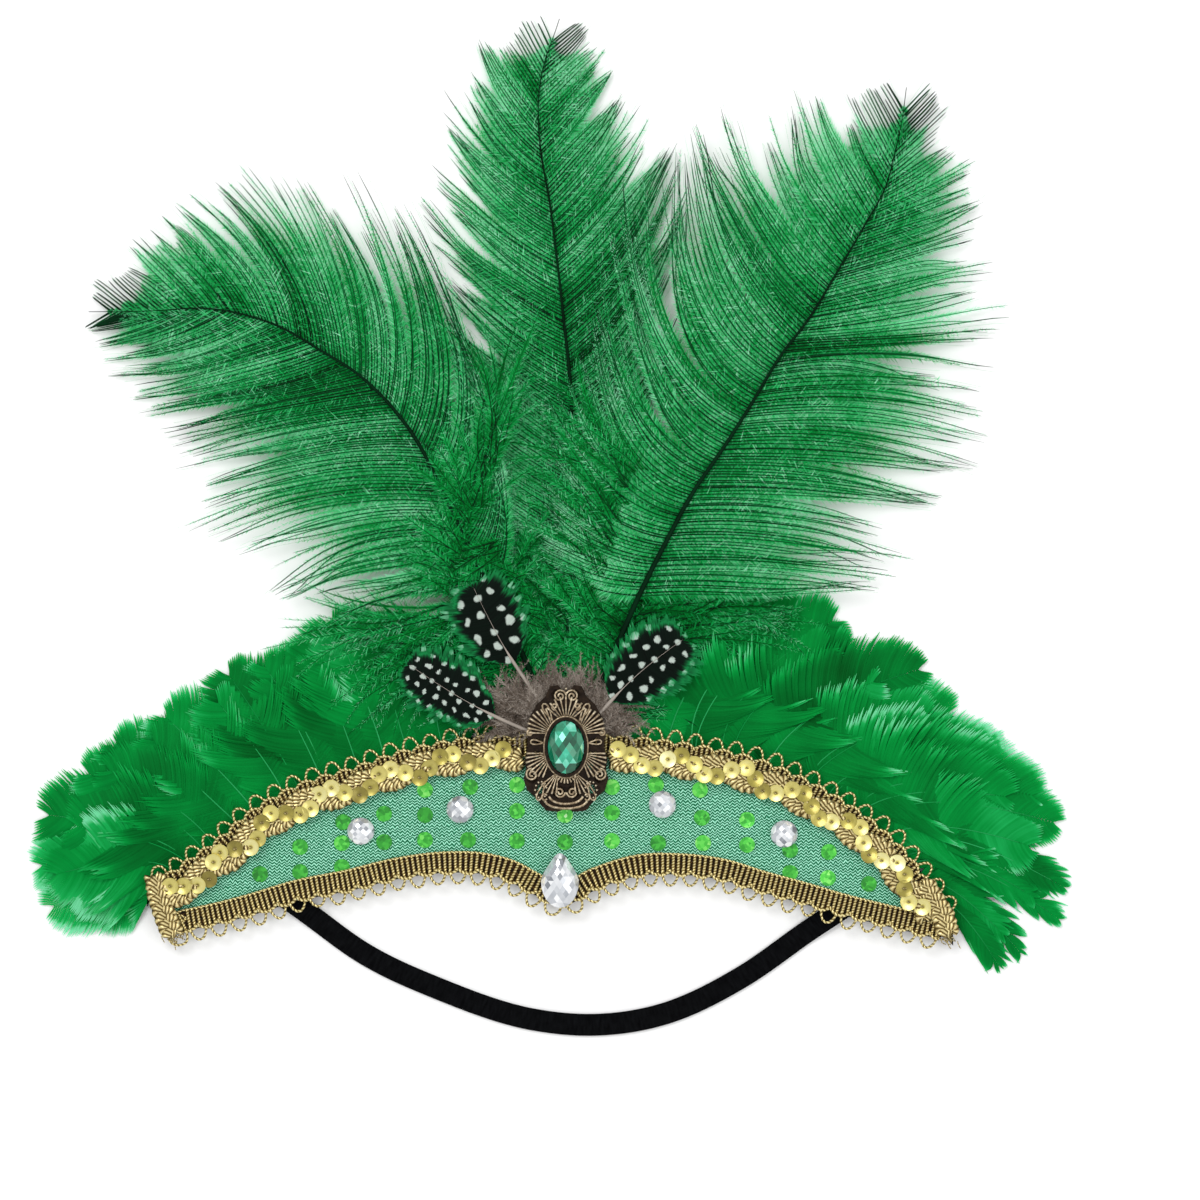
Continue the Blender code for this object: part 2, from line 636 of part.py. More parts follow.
# Goose feathers.
def goose(side):
    """A fan of feathers side by side on one strip: the strip lies in the band, and the feathers arch
    up past its braid and come down to the floor. Every second row ends short, between two feathers."""
    table = GOOSE[side]
    numbered = [(float(i), *row) for i, row in enumerate(table)]
    rows = 2 * (len(table) - 1)
    columns = (0.0, 0.16, 0.36, 0.58, 0.80, 1.0)

    def place(u, v):
        k = round(u * rows) / 2
        t = columns[int(round(v * (len(columns) - 1)))]
        _, along, dx, dy = read(numbered, k)
        x, upper, _ = edges(along)
        x_next, upper_next, _ = edges(along + 0.004)
        x_back, upper_back, _ = edges(along - 0.004)
        way = np.array((x_next - x_back, upper_next - upper_back))
        way /= np.linalg.norm(way)
        out = np.array((-way[1], way[0]))
        edge = np.array((x, upper))
        root = edge - out * ROOT_DEPTH
        tip = edge + np.array((dx, dy)) * GOOSE_REACH
        reach = np.linalg.norm(tip - root)
        short = 1 - GOOSE_NOTCH * (round(u * rows) % 2)
        a = t * short
        bend = root + out * reach * 0.30
        point = (1 - a) ** 2 * root + 2 * a * (1 - a) * bend + a * a * tip
        run = t * reach
        climb = smooth((run - ROOT_DEPTH - 2 * LOOP_REACH) / GOOSE_RISE_RUN)
        rise = ROOT_HEIGHT + (GOOSE_ARCH - ROOT_HEIGHT) * climb
        fall = smooth((t - 0.4) / 0.6)
        rest = GOOSE_THICK / 2 + CLEAR
        return point[0], point[1], rise * (1 - fall) + rest * fall, 1.0

    return thicken("goose_feathers_" + side, rows, len(columns) - 1, place, GOOSE_THICK, GOOSE_GREEN)


for side in GOOSE:
    goose(side)

# Brooch.
brooch_middle = on_band(*BROOCH_PLACE)


def guinea(side):
    """A small round-ended feather whose quill is held under the brooch."""
    sx, sy, tx, ty, start, half, high = GUINEA[side]
    seat = brooch_middle + np.array((sx, sy)) * GUINEA_LENGTH
    tip = brooch_middle + np.array((tx, ty)) * GUINEA_LENGTH
    way = (tip - seat) / np.linalg.norm(tip - seat)
    across = np.array((-way[1], way[0]))
    low = BROOCH_RISE - CLEAR - GUINEA_THICK / 2
    leave = 0.30 if side == "top" else 0.12

    def place(u, v):
        vane = min(max((u - start) / (1 - start), 0.0), 1.0)
        width = half * GUINEA_LENGTH * math.sin(math.pi * min(vane * 0.86 + 0.02, 1.0)) ** 0.6
        width = max(width if u > start else 0.0, GUINEA_QUILL / 2)
        point = seat + (tip - seat) * u + across * (2 * v - 1) * width
        point = point + way * 0.12 * width * (1 - (2 * v - 1) ** 2)
        height = low + (high * BROOCH_RISE - low) * smooth((u - leave) / 0.28)
        return point[0], point[1], height, 1.0

    return thicken("guinea_feather_" + side, 12, 4, place, GUINEA_THICK, GUINEA_BLACK)


for side in GUINEA:
    guinea(side)


def mirrored(points):
    """A right half outline closed with its mirror image."""
    return list(points) + [(-x, y) for x, y in reversed(points) if abs(x) > 1e-9]


def filigree():
    """Pierced plate with a fan of slots round the stone, a bezel, wire scrolls and a boss below."""
    mx, my = brooch_middle
    half = [(x * BROOCH_WIDTH, y * BROOCH_HEIGHT) for x, y in BROOCH_OUTLINE]
    outline = [(mx + x, my + y) for x, y in mirrored(half)]
    rx = BROOCH_STONE_WIDTH / 2 + CLEAR + BEZEL_WALL
    ry = BROOCH_STONE_HEIGHT / 2 + CLEAR + BEZEL_WALL
    holes = []
    slots = 13
    for k in range(slots):
        angle = math.radians(-32 + 244 * k / (slots - 1))
        hole = []
        for reach, turn in ((1.12, -0.06), (1.46, -0.09), (1.46, 0.09), (1.12, 0.06)):
            x = rx * reach * math.cos(angle + turn)
            y = ry * (1 + (reach - 1) * 0.62) * math.sin(angle + turn)
            hole.append((mx + x, my + y))
        holes.append(hole)
    for sign in (-1, 1):
        for x, y, radius in ((0.310, -0.325, 0.040), (0.100, 0.405, 0.028), (0.095, -0.350, 0.028)):
            ring = []
            for k in range(6):
                turn = 2 * math.pi * k / 6
                px = sign * x * BROOCH_WIDTH + radius * BROOCH_WIDTH * math.cos(turn)
                py = y * BROOCH_HEIGHT + radius * BROOCH_WIDTH * 1.5 * math.sin(turn)
                ring.append((mx + px, my + py))
            holes.append(ring)
    top = BROOCH_RISE + BROOCH_THICK
    plate = add("brooch_filigree", flat([outline] + holes, BROOCH_RISE, top), BRONZE)
    turns = [2 * math.pi * k / 16 for k in range(16)]
    outside = [(mx + rx * math.cos(t), my + ry * math.sin(t)) for t in turns]
    inside = [
        (mx + (rx - BEZEL_WALL) * math.cos(t), my + (ry - BEZEL_WALL) * math.sin(t)) for t in turns
    ]
    relief = [flat([outside, inside], top - BROOCH_THICK / 2, top + BEZEL_HEIGHT)]
    boss_y = my - 0.28 * BROOCH_HEIGHT
    ring = [
        (mx + BROOCH_BOSS / 2 * math.cos(t), boss_y + BROOCH_BOSS / 2 * math.sin(t)) for t in turns[::2]
    ]
    relief.append(flat([ring], GIMP_BOTTOM, BROOCH_RISE + BROOCH_THICK / 2))
    for sign in (-1, 1):
        for x, y, radius, leave in SCROLLS:
            points = []
            for k in range(9):
                turn = 2 * math.pi * (leave + 1.25 * k / 8)
                r = radius * BROOCH_WIDTH * (1 - 0.09 * k)
                px = sign * (x * BROOCH_WIDTH + r * math.cos(turn))
                py = y * BROOCH_HEIGHT + r * math.sin(turn)
                points.append((mx + px, my + py, top + SCROLL_WIRE * 0.4))
            relief.append(wire(points, SCROLL_WIRE))
    row = add("brooch_relief", gathered(relief), BRONZE, cutters)
    boolean(plate, row, "UNION", True)
    return top


BROOCH_TOP = filigree()


# Stones.
def stone(name, place, bottom, outline, segments, levels, material):
    """A flat-backed cut stone. Levels hold the height and the share of the outline of each ring, and
    every second ring is turned by half a facet."""
    bm = bmesh.new()
    rings = []
    for k, (height, share) in enumerate(levels):
        shift = 0.5 * max(k - 1, 0)
        made = bmesh.ops.create_circle(bm, cap_ends=False, segments=segments, radius=1.0)
        ring = made["verts"]
        for i, vertex in enumerate(ring):
            x, y = outline(2 * math.pi * (i + shift) / segments)
            vertex.co = Vector((place[0] + x * share, place[1] + y * share, bottom + height))
        rings.append(ring)
    bm.faces.new(rings[0])
    bm.faces.new(rings[-1])
    for k in range(len(rings) - 1):
        low, high = rings[k], rings[k + 1]
        for i in range(segments):
            j = (i + 1) % segments
            if k == 0:
                bm.faces.new((low[i], low[j], high[j], high[i]))
            else:
                bm.faces.new((low[i], low[j], high[i]))
                bm.faces.new((low[j], high[j], high[i]))
    bmesh.ops.recalc_face_normals(bm, faces=bm.faces)
    mesh = bpy.data.meshes.new(name)
    bm.to_mesh(mesh)
    bm.free()
    return add(name, mesh, material)


def oval(width, height):
    return lambda turn: (width / 2 * math.cos(turn), height / 2 * math.sin(turn))


def teardrop(width, height):
    def outline(turn):
        """Round below and drawn to a blunt point above."""
        lift = math.sin(turn)
        narrow = 1 - 0.42 * smooth((lift + 0.1) / 1.1)
        return width / 2 * math.cos(turn) * narrow, height / 2 * lift

    return outline


CUT = ((0.0, 1.0), (0.30, 1.0), (0.58, 0.84), (0.82, 0.62), (1.0, 0.36))
ROUND_CUT = ((0.0, 0.96), (0.35, 1.0), (0.75, 0.78), (1.0, 0.48))


def cut(levels, thickness):
    return [(height * thickness, share) for height, share in levels]


stone(
    "brooch_stone",
    brooch_middle,
    BROOCH_TOP + CLEAR,
    oval(BROOCH_STONE_WIDTH, BROOCH_STONE_HEIGHT),
    12,
    cut(CUT, BROOCH_STONE_THICK),
    GREEN_STONE,
)
stone(
    "drop_stone",
    on_band(*DROP_PLACE),
    GIMP_TOP + CLEAR,
    teardrop(DROP_WIDTH, DROP_HEIGHT),
    12,
    cut(CUT, DROP_THICK),
    CLEAR_STONE,
)
for number, spot in enumerate(ROUND_STONES, 1):
    stone(
        "round_stone_" + str(number),
        on_band(*spot),
        PANEL_TOP + CLEAR,
        oval(ROUND_WIDTH, ROUND_WIDTH),
        10,
        cut(ROUND_CUT, ROUND_THICK),
        CLEAR_STONE,
    )


# Strap.
def strap_place(extra, slot):
    """Where the strap's surface goes. Inside the band it lies between felt and fabric, and outside it
    comes down to the floor. A slot keeps one height all along."""
    first, last = STRAP[0][0], STRAP[-1][0]
    seat_left = on_band(first, STRAP_SEATS[0])[1]
    seat_right = on_band(last, STRAP_SEATS[1])[1]
    over = STRAP_SLACK / BAND_LENGTH if slot else 0.0

    def middle(along):
        drop = read(STRAP, along)[1]
        line = seat_left + (seat_right - seat_left) * (along - first) / (last - first)
        return np.array((along * BAND_LENGTH, line - drop * STRAP_DROP))

    def place(u, v):
        along = first - over + (last - first + 2 * over) * u
        way = middle(along + 0.002) - middle(along - 0.002)
        way /= np.linalg.norm(way)
        point = middle(along) + np.array((-way[1], way[0])) * (v - 0.5) * (STRAP_WIDTH + extra)
        if slot:
            return point[0], point[1], LEDGE_THICK + FELT_THICK, 1.0
        outside = edges(point[0] / BAND_LENGTH)[2] - point[1]
        down = smooth((outside - STRAP_CLEAR_RUN) / STRAP_FALL_RUN)
        inside_height = LEDGE_THICK + CLEAR + STRAP_THICK / 2
        return point[0], point[1], inside_height * (1 - down) + STRAP_THICK / 2 * down, 1.0

    return place


thicken("elastic_strap", 48, 1, strap_place(0.0, False), STRAP_THICK, ELASTIC)
slot = thicken(
    "strap_slot", 48, 1, strap_place(2 * CLEAR, True), 2 * FELT_THICK, ELASTIC, cutters
)
boolean(felt, slot, "DIFFERENCE")

for obj in parts.objects:
    if obj.name.startswith(("plume", "goose", "guinea", "elastic")):
        obj.data.shade_smooth()
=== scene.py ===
"""Feather headband: the looks of its feathers, braids, sequins, brooch, stones and strap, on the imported
model. Metres. +X runs along the band, +Y from the band to the plume tips and +Z out of its face."""

import bmesh
import bpy
import numpy as np
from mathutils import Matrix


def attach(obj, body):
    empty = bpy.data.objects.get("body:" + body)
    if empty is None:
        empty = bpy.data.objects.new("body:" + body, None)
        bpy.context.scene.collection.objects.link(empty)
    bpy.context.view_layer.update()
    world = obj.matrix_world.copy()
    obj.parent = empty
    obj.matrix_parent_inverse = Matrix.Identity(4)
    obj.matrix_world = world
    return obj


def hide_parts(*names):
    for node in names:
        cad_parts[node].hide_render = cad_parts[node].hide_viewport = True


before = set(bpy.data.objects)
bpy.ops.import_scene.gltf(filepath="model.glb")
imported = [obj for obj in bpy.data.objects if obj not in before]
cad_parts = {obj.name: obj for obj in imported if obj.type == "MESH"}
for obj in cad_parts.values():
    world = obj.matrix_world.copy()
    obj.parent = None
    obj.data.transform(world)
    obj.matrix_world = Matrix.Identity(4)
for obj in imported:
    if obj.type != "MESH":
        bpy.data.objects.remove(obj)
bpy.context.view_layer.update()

# Camera: straight above, with the photograph's frame of 390 mm at the band's height.
DISTANCE = 2.0
FRAME_WIDTH = 0.390
camera = bpy.data.objects.new("camera", bpy.data.cameras.new("camera"))
camera.location = (0.0130, 0.0715, DISTANCE + 0.005)
camera.data.sensor_width = 36.0
camera.data.lens = 36.0 * DISTANCE / FRAME_WIDTH
camera.data.clip_end = 10.0
bpy.context.collection.objects.link(camera)
bpy.context.scene.camera = camera
bpy.context.scene.view_settings.view_transform = "Standard"

# Sizes that the solids share, in metres.
BAND_LENGTH = 0.2620
BAND_HEIGHT = 0.0560
FELT_THICK = 0.0030
LEDGE_THICK = 0.0010
LEDGE_DEPTH = 0.0080
PANEL_TOP = 0.0043
GIMP_BOTTOM, GIMP_TOP = 0.0046, 0.0056
GIMP_WIDTH = 0.0066
GIMP_INSET = 0.0005
LOOP_PITCH = 0.0065
LOOP_REACH = 0.0036
CORD_BOTTOM, CORD_TOP = 0.0059, 0.0071
CORD_INSET = 0.0066
CORD_WAVE = 0.0012
SEQUIN_WIDTH = 0.0055
SEQUIN_SPACING = 0.0041
SEQUIN_SWING = 0.0027
SWING_PERIOD = 0.0200
PLUME_LENGTHS = {"centre": 0.2401, "left": 0.2324, "right": 0.2429}
PLUME_LIFT = 0.0090
PLUME_REST = 0.0009
ROOT_DEPTH = 0.0060
GOOSE_REACH = 0.0800
GOOSE_ARCH = 0.0056
ROOT_HEIGHT = 0.00215
GUINEA_LENGTH = 0.0500
BROOCH_RISE = 0.0076
BROOCH_TOP = 0.0086
STRAP_WIDTH = 0.0071
STRAP_THICK = 0.0010
STRAP_DROP = 0.0468
# Sizes that only the scene has.
MM = 0.001
BARB_SPACING = 0.00128  # between a plume's barbs, along the rachis
LAST_BARB = 0.968  # where they end, as a share of the rachis
BARBULE_LENGTH = 0.0034
BARBULE_FOOT = 0.00018  # half the width of a barbule at its foot
BARBULE_FLOOR, VANE_FLOOR, BARB_FLOOR = 0.0004, 0.0005, 0.0006  # nothing comes lower
PLAIT_PITCH = 0.0078  # one full swing of a strand
PLAIT_SWING = 0.0026
PLAIT_RISE = 0.00034
STRAND_RADIUS, END_STRAND_RADIUS = 0.00170, 0.00165  # of the plait's strands
SEQUIN_SIDES = 18
KNOT_RADIUS, LOOSE_THREAD_RADIUS = 0.00016, 0.00017
RIB_RADIUS, SCALLOP_RADIUS, INNER_CORD_RADIUS, LOOP_RADIUS = 0.00054, 0.00056, 0.00040, 0.00047
STONE_GAP = 0.0003  # from what a stone lies on to its back
BEAD_RADIUS = 0.00048
CLOSING_STEP = 0.0002  # length run from a closed cord's last point to its first

# The solids' tables; BAND and the rows of PLUMES and GOOSE are in thousandths. Band: place along it,
# upper and lower edge, as shares of its length and height.
BAND = np.array((
    (-512, -360, -384), (-497, -326, -535), (-482, -302, -657),
    (-460, -227, -640), (-429, -128, -610), (-385, 47, -558),
    (-323, 209, -471), (-261, 297, -413), (-199, 395, -343),
    (-137, 459, -308), (-99, 483, -314), (-68, 488, -349),
    (-37, 494, -424), (0, 500, -500), (50, 494, -395),
    (99, 477, -326), (149, 448, -320), (199, 407, -349),
    (248, 349, -419), (298, 250, -483), (348, 122, -552),
    (398, -47, -610), (429, -186, -645), (453, -331, -674),
    (476, -477, -680), (488, -581, -634),
)) / 1000
# Plumes: root along the band, as a plain share; then place along the rachis, its x, y and lift, and
# the x, y and lift of the barb tips on its left and on its right. Towards the plume's tip the barbs
# reach further ahead than the solid's edge does.
PLUMES = {
    "centre": (0.0075, (
        (0, 0, 0, 140, -5, 0, 140, 5, 0, 140),
        (99, 1, 99, 210, -5, 0, 210, 5, 0, 210),
        (218, 3, 218, 320, -81, 55, 300, 81, 55, 300),
        (372, 5, 372, 400, -150, 105, 300, 140, 150, 300),
        (475, 7, 475, 420, -165, 135, 250, 150, 210, 250),
        (595, -4, 594, 400, -178, 130, 100, 145, 195, 150),
        (666, -12, 665, 360, -165, 135, 30, 126, 155, 80),
        (752, -23, 750, 320, -130, 135, 30, 106, 132, 30),
        (815, -34, 812, 280, -88, 122, 30, 96, 112, 30),
        (892, -37, 889, 220, -50, 78, 30, 74, 70, 30),
        (947, -27, 943, 160, -24, 46, 40, 46, 40, 40),
        (972, -18, 967, 130, -12, 30, 60, 30, 26, 60),
        (1000, -9, 994, 90, -8, 20, 70, 20, 16, 70),
    )),
    "left": (-0.0125, (
        (0, 0, 0, 140, -6, 0, 140, 6, 0, 140),
        (75, -14, 74, 220, -6, 0, 220, 6, 0, 220),
        (135, -35, 130, 450, -11, 6, 450, 11, 6, 450),
        (245, -84, 228, 860, -231, -42, 900, -14, 238, 900),
        (320, -117, 295, 950, -256, -49, 850, -25, 301, 850),
        (393, -148, 362, 1000, -320, -50, 500, -34, 341, 750),
        (497, -197, 453, 1000, -306, -55, 80, -48, 313, 350),
        (604, -271, 531, 950, -281, -59, 30, -78, 263, 80),
        (664, -322, 563, 880, -245, -59, 30, -119, 224, 30),
        (724, -373, 593, 780, -210, -60, 30, -123, 173, 30),
        (834, -480, 621, 500, -133, -50, 30, -94, 96, 30),
        (909, -555, 618, 300, -85, -22, 30, -63, 50, 30),
        (960, -606, 617, 180, -42, -24, 60, -40, 30, 60),
        (1000, -646, 617, 90, -18, -10, 70, -18, 12, 70),
    )),
    "right": (0.0325, (
        (0, 0, 0, 140, -5, 0, 140, 5, 0, 140),
        (44, 5, 44, 180, -5, 0, 180, 5, 0, 180),
        (100, 21, 98, 350, -5, 0, 350, 5, 0, 350),
        (145, 39, 139, 620, -13, 5, 620, 13, -3, 620),
        (221, 70, 209, 880, -124, 36, 880, 262, 0, 850),
        (302, 106, 281, 980, -161, 98, 950, 298, -32, 600),
        (377, 142, 347, 1000, -150, 233, 900, 312, -30, 150),
        (458, 187, 413, 1000, -155, 286, 850, 312, -24, 30),
        (525, 223, 470, 1000, -138, 317, 800, 302, -12, 30),
        (596, 260, 531, 980, -120, 256, 700, 282, 5, 30),
        (655, 296, 578, 950, -139, 238, 500, 238, 45, 30),
        (732, 336, 644, 880, -123, 205, 200, 186, 58, 30),
        (803, 372, 705, 750, -86, 173, 30, 142, 58, 30),
        (862, 400, 756, 600, -63, 122, 30, 98, 70, 30),
        (910, 413, 803, 450, -38, 78, 40, 62, 62, 40),
        (957, 423, 848, 280, -26, 46, 80, 38, 40, 80),
        (1000, 429, 891, 120, -12, 24, 100, 18, 20, 100),
    )),
}
# Goose feathers: root along the band; tip x, y from the edge above it, in thousandths of GOOSE_REACH.
GOOSE = {
    "left": (
        (-493, -256, -191), (-484, -552, -111), (-475, -613, 23),
        (-461, -585, 194), (-443, -524, 346), (-415, -463, 405),
        (-380, -382, 397), (-338, -309, 462), (-296, -244, 469),
        (-258, -203, 554), (-224, -203, 572), (-180, -118, 490),
        (-130, -61, 424), (-75, -49, 350),
    ),
    "right": (
        (75, 41, 351), (106, 183, 449), (143, 284, 546),
        (176, 398, 597), (209, 447, 569), (242, 435, 434),
        (278, 573, 415), (313, 593, 315), (345, 666, 186),
        (373, 756, 87), (398, 764, -16), (420, 715, -133),
        (437, 626, -241), (455, 414, -299), (468, 276, -326),
    ),
}
# Guinea feathers: seat and tip from the brooch's middle as shares of GUINEA_LENGTH; where the vane
# starts; half its width as a share of GUINEA_LENGTH; its height as a share of BROOCH_RISE.
GUINEA = {
    "top": (-0.065, 0.162, -0.598, 1.034, 0.45, 0.235, 1.530),
    "left": (-0.136, 0.058, -1.014, 0.533, 0.35, 0.195, 1.290),
    "right": (0.156, 0.143, 0.754, 0.696, 0.25, 0.220, 1.320),
}
STRAP = (
    (-0.391, 0.000), (-0.325, 0.247), (-0.245, 0.556), (-0.149, 0.792), (-0.030, 0.983),
    (0.050, 1.000), (0.133, 0.903), (0.227, 0.632), (0.311, 0.288), (0.385, 0.000),
)
STRAP_SEATS = (0.47, 0.31)
ROUND_STONES = ((-0.247, 0.465), (-0.124, 0.475), (0.127, 0.523), (0.278, 0.502))
BROOCH_PLACE = (0.0075, 0.924)
DROP_PLACE = (0.0, 0.151)
# Where the cord turns down over each end of the band.
BAND_ENDS = (
    ((-0.1312, -0.0180), (-0.1302, -0.0244), (-0.1282, -0.0308), (-0.1256, -0.0372)),
    ((0.1180, -0.0205), (0.1214, -0.0258), (0.1246, -0.0312), (0.1262, -0.0370)),
)
# The brooch's relief, in millimetres and degrees, for its right half. Fans of bars: foot x, y, middle
# heading, spread to each side, count, length. Teardrop loops: foot x, y, heading, length, width.
# Scrolls: middle x, y, radius, start and number of turns, hand.
SIDE_FANS = ((3.6, 4.4, 36, 34, 8, 9.6), (4.4, -2.0, -34, 34, 8, 9.3), (2.6, -8.0, -62, 24, 5, 7.6))
SIDE_DROPS = ((4.2, 8.2, 62, 6.6, 1.9), (6.9, 1.3, 6, 4.6, 1.5), (6.9, -11.0, -70, 6.6, 1.8))
SCROLLS = (
    (2.0, 16.6, 2.1, 0.50, 1.6, -1), (11.0, -8.9, 2.1, 0.25, 1.6, -1), (2.0, -14.6, 1.8, 0.50, 1.6, 1),
    (3.6, 13.2, 1.2, 0.75, 1.1, 1), (11.6, 4.6, 1.2, 0.30, 1.1, -1),
)
# Flat sequins on the fabric, x and y in millimetres.
FLAT_SEQUINS = (
    (-97.5, -17.6), (-84.5, -8.8), (-84.5, -16.9), (-70.5, -0.7), (-70.9, -7.5), (-70.9, -15.3),
    (-57.2, 2.0), (-57.2, -7.2), (-43.9, 9.8), (-43.9, 1.6), (-43.9, -6.5), (-29.2, 10.7),
    (-29.9, -6.5), (-14.0, 11.4), (-14.0, 2.9), (-14.0, -6.8), (1.6, 1.6), (1.6, -7.2),
    (16.9, 10.7), (16.9, 2.3), (16.9, -6.8), (31.2, 11.4), (31.9, -7.5), (45.5, 9.8),
    (46.1, 0.7), (46.5, -7.5), (60.8, 0.0), (60.8, -8.1), (74.8, -9.8), (74.8, -17.2),
    (87.4, -10.4), (87.1, -18.9), (100.4, -20.8),
)


# Materials
def linear(hexa):
    """A linear colour with alpha from an sRGB hex value."""
    code = [int(hexa[i : i + 2], 16) / 255 for i in (1, 3, 5)]
    return (*[c / 12.92 if c <= 0.04045 else ((c + 0.055) / 1.055) ** 2.4 for c in code], 1.0)


def put(tree, kind, settings=None, links=None):
    """Adds a node, with its settings, and its inputs as values or as the sockets that feed them."""
    node = tree.nodes.new("ShaderNode" + kind)
    for key, value in (settings or {}).items():
        setattr(node, key, value)
    for key, value in (links or {}).items():
        if isinstance(value, bpy.types.NodeSocket):
            tree.links.new(value, node.inputs[key])
        else:
            node.inputs[key].default_value = value
    return node.outputs


def finish_of(name, constants):
    """A new material with constants on its surface shader; returns it with its tree and shader."""
    material = bpy.data.materials.new(name)
    material.use_nodes = True
    tree = material.node_tree
    shader = tree.nodes["Principled BSDF"]
    for key, value in constants.items():
        shader.inputs[key].default_value = value
    return material, tree, shader


def place_in(tree):
    """The place on the object, in metres."""
    return put(tree, "TexCoord")["Object"]


def lay_in(tree):
    """The piece's own lay: the length along it and the distance across it or the share of its turn."""
    return put(tree, "UVMap", {"uv_map": "lay"})["UV"]


def value_in(tree, name="shade"):
    """A value that the mesh carries."""
    return put(tree, "Attribute", {"attribute_name": name})["Fac"]


def maths(tree, operation, *values):
    """One step of arithmetic on values or sockets."""
    return put(tree, "Math", {"operation": operation}, dict(enumerate(values)))[0]


def noise(tree, place, scale, detail, output="Fac"):
    """A soft random pattern, with so many patches a metre."""
    return put(tree, "TexNoise", None, {"Vector": place, "Scale": scale, "Detail": detail})[output]


def ramp(tree, source, stops):
    """A colour ramp fed by a socket; stops are (place, hex colour)."""
    node = put(tree, "ValToRGB", None, {"Fac": source})["Color"].node
    elements = node.color_ramp.elements
    while len(elements) < len(stops):
        elements.new(0.5)
    for element, (place, hexa) in zip(elements, stops):
        element.position = place
        element.color = linear(hexa)
    return node.outputs["Color"]


def coloured(tree, shader, level, stops, relief=0.0):
    """Gives the surface its colour from a level, and a bump of up to 0.3 mm of the same level."""
    tree.links.new(ramp(tree, level, stops), shader.inputs["Base Color"])
    if relief:
        bump = put(tree, "Bump", None, {"Height": level, "Strength": relief, "Distance": 0.0003})
        tree.links.new(bump[0], shader.inputs["Normal"])


def feather_finish(name, stops, through, rough, fine, shade_patch_scale=26.0):
    """Dyed feather: matt keratin that lets some light through, with next to no gloss of its own. Its
    colour comes from the shade of each barb, a fine mottle of uneven dye, and broad soft patches of
    painted light and shade."""
    constants = {"Roughness": rough, "Specular IOR Level": 0.04, "IOR": 1.54}
    material, tree, shader = finish_of(name, constants)
    level = value_in(tree)
    place = place_in(tree)
    # the fine noise is uneven dye; the broad noise lays soft patches of painted light and shade
    for scale, part in ((fine, 0.45), (shade_patch_scale, 0.42)):
        more = maths(tree, "MULTIPLY_ADD", noise(tree, place, scale, 2.0), part, level)
        level = maths(tree, "SUBTRACT", more, part / 2)
    colour = ramp(tree, level, stops)
    tree.links.new(colour, shader.inputs["Base Color"])
    behind = put(tree, "BsdfTranslucent", None, {"Color": colour})
    mix = put(tree, "MixShader", None, {0: through, 1: shader.outputs[0], 2: behind[0]})
    tree.links.new(mix[0], tree.nodes["Material Output"].inputs["Surface"])
    return material


# Ostrich dyed emerald: barbules are matt and fluffy, so they stay pale and light comes through.
ostrich_fluff = feather_finish(
    "dyed_ostrich_barbules",
    ((0.0, "#00551A"), (0.30, "#069038"), (0.56, "#1BBA5B"), (0.80, "#52DA8C"), (1.0, "#A2F3C6")),
    0.30, 0.8, 130.0,
)
# Barb shafts and rachis took the dye darkest.
ostrich_shaft = feather_finish(
    "dyed_ostrich_shaft",
    ((0.0, "#020D05"), (0.4, "#042B14"), (0.75, "#0A5C2B"), (1.0, "#1C8C4A")),
    0.05, 0.7, 90.0,
)
# Goose vane: barbs hooked together into a smooth web, deep green; its paler rims are painted light, the white
# floor seen through the thin fringe.
goose_vane = feather_finish(
    "dyed_goose_vane",
    ((0.0, "#004A15"), (0.35, "#007A2E"), (0.62, "#019A3E"), (0.82, "#1DB85C"), (1.0, "#7BE3AB")),
    0.30, 0.6, 60.0, 30.0,
)
# Goose quill: bare horn, which the dye leaves lighter than the web.
goose_quill = feather_finish("dyed_goose_quill", ((0.0, "#0B8A3E"), (1.0, "#3FC277")), 0.1, 0.6, 60.0)


def guinea_finish():
    """Guinea vane: black-green web with pale pea spots, 4 to 6 mm apart and about half as wide,
    read in the feather's own plane. Near the edge web and spots take the green dye."""
    material, tree, shader = finish_of("guinea_vane", {"Roughness": 0.6, "Specular IOR Level": 0.05})
    lay = lay_in(tree)
    waver = noise(tree, lay, 420.0, 2.0, "Color")
    moved = put(tree, "VectorMath", {"operation": "SUBTRACT"}, {0: waver, 1: (0.5, 0.5, 0.5)})[0]
    shift = {0: moved, 1: (0.0022, 0.0016, 0.0), 2: lay}
    place = put(tree, "VectorMath", {"operation": "MULTIPLY_ADD"}, shift)[0]
    spots = put(
        tree,
        "TexVoronoi",
        {"feature": "F1", "voronoi_dimensions": "2D"},
        {"Vector": place, "Scale": 330.0, "Randomness": 0.30},
    )
    shade = value_in(tree)
    dot = ramp(tree, spots["Distance"], ((0.0, "#FFFFFF"), (0.17, "#FFFFFF"), (0.25, "#000000")))
    dye = ramp(tree, shade, ((0.0, "#B9C3BB"), (0.34, "#A6B4AA"), (0.55, "#7FB596"), (0.9, "#3E9362")))
    web_stops = ((0.0, "#020403"), (0.30, "#06130C"), (0.55, "#0A4423"), (0.85, "#12753C"))
    mix = put(
        tree, "Mix", {"data_type": "RGBA"}, {"Factor": dot, 6: ramp(tree, shade, web_stops), 7: dye}
    )
    tree.links.new(mix[2], shader.inputs["Base Color"])
    return material


guinea_vane = guinea_finish()
# Down at the foot of the guinea feathers: undyed grey-brown.
down_grey = feather_finish(
    "grey_down", ((0.0, "#3A322B"), (0.5, "#786C61"), (1.0, "#BDB3A8")), 0.3, 0.8, 150.0
)


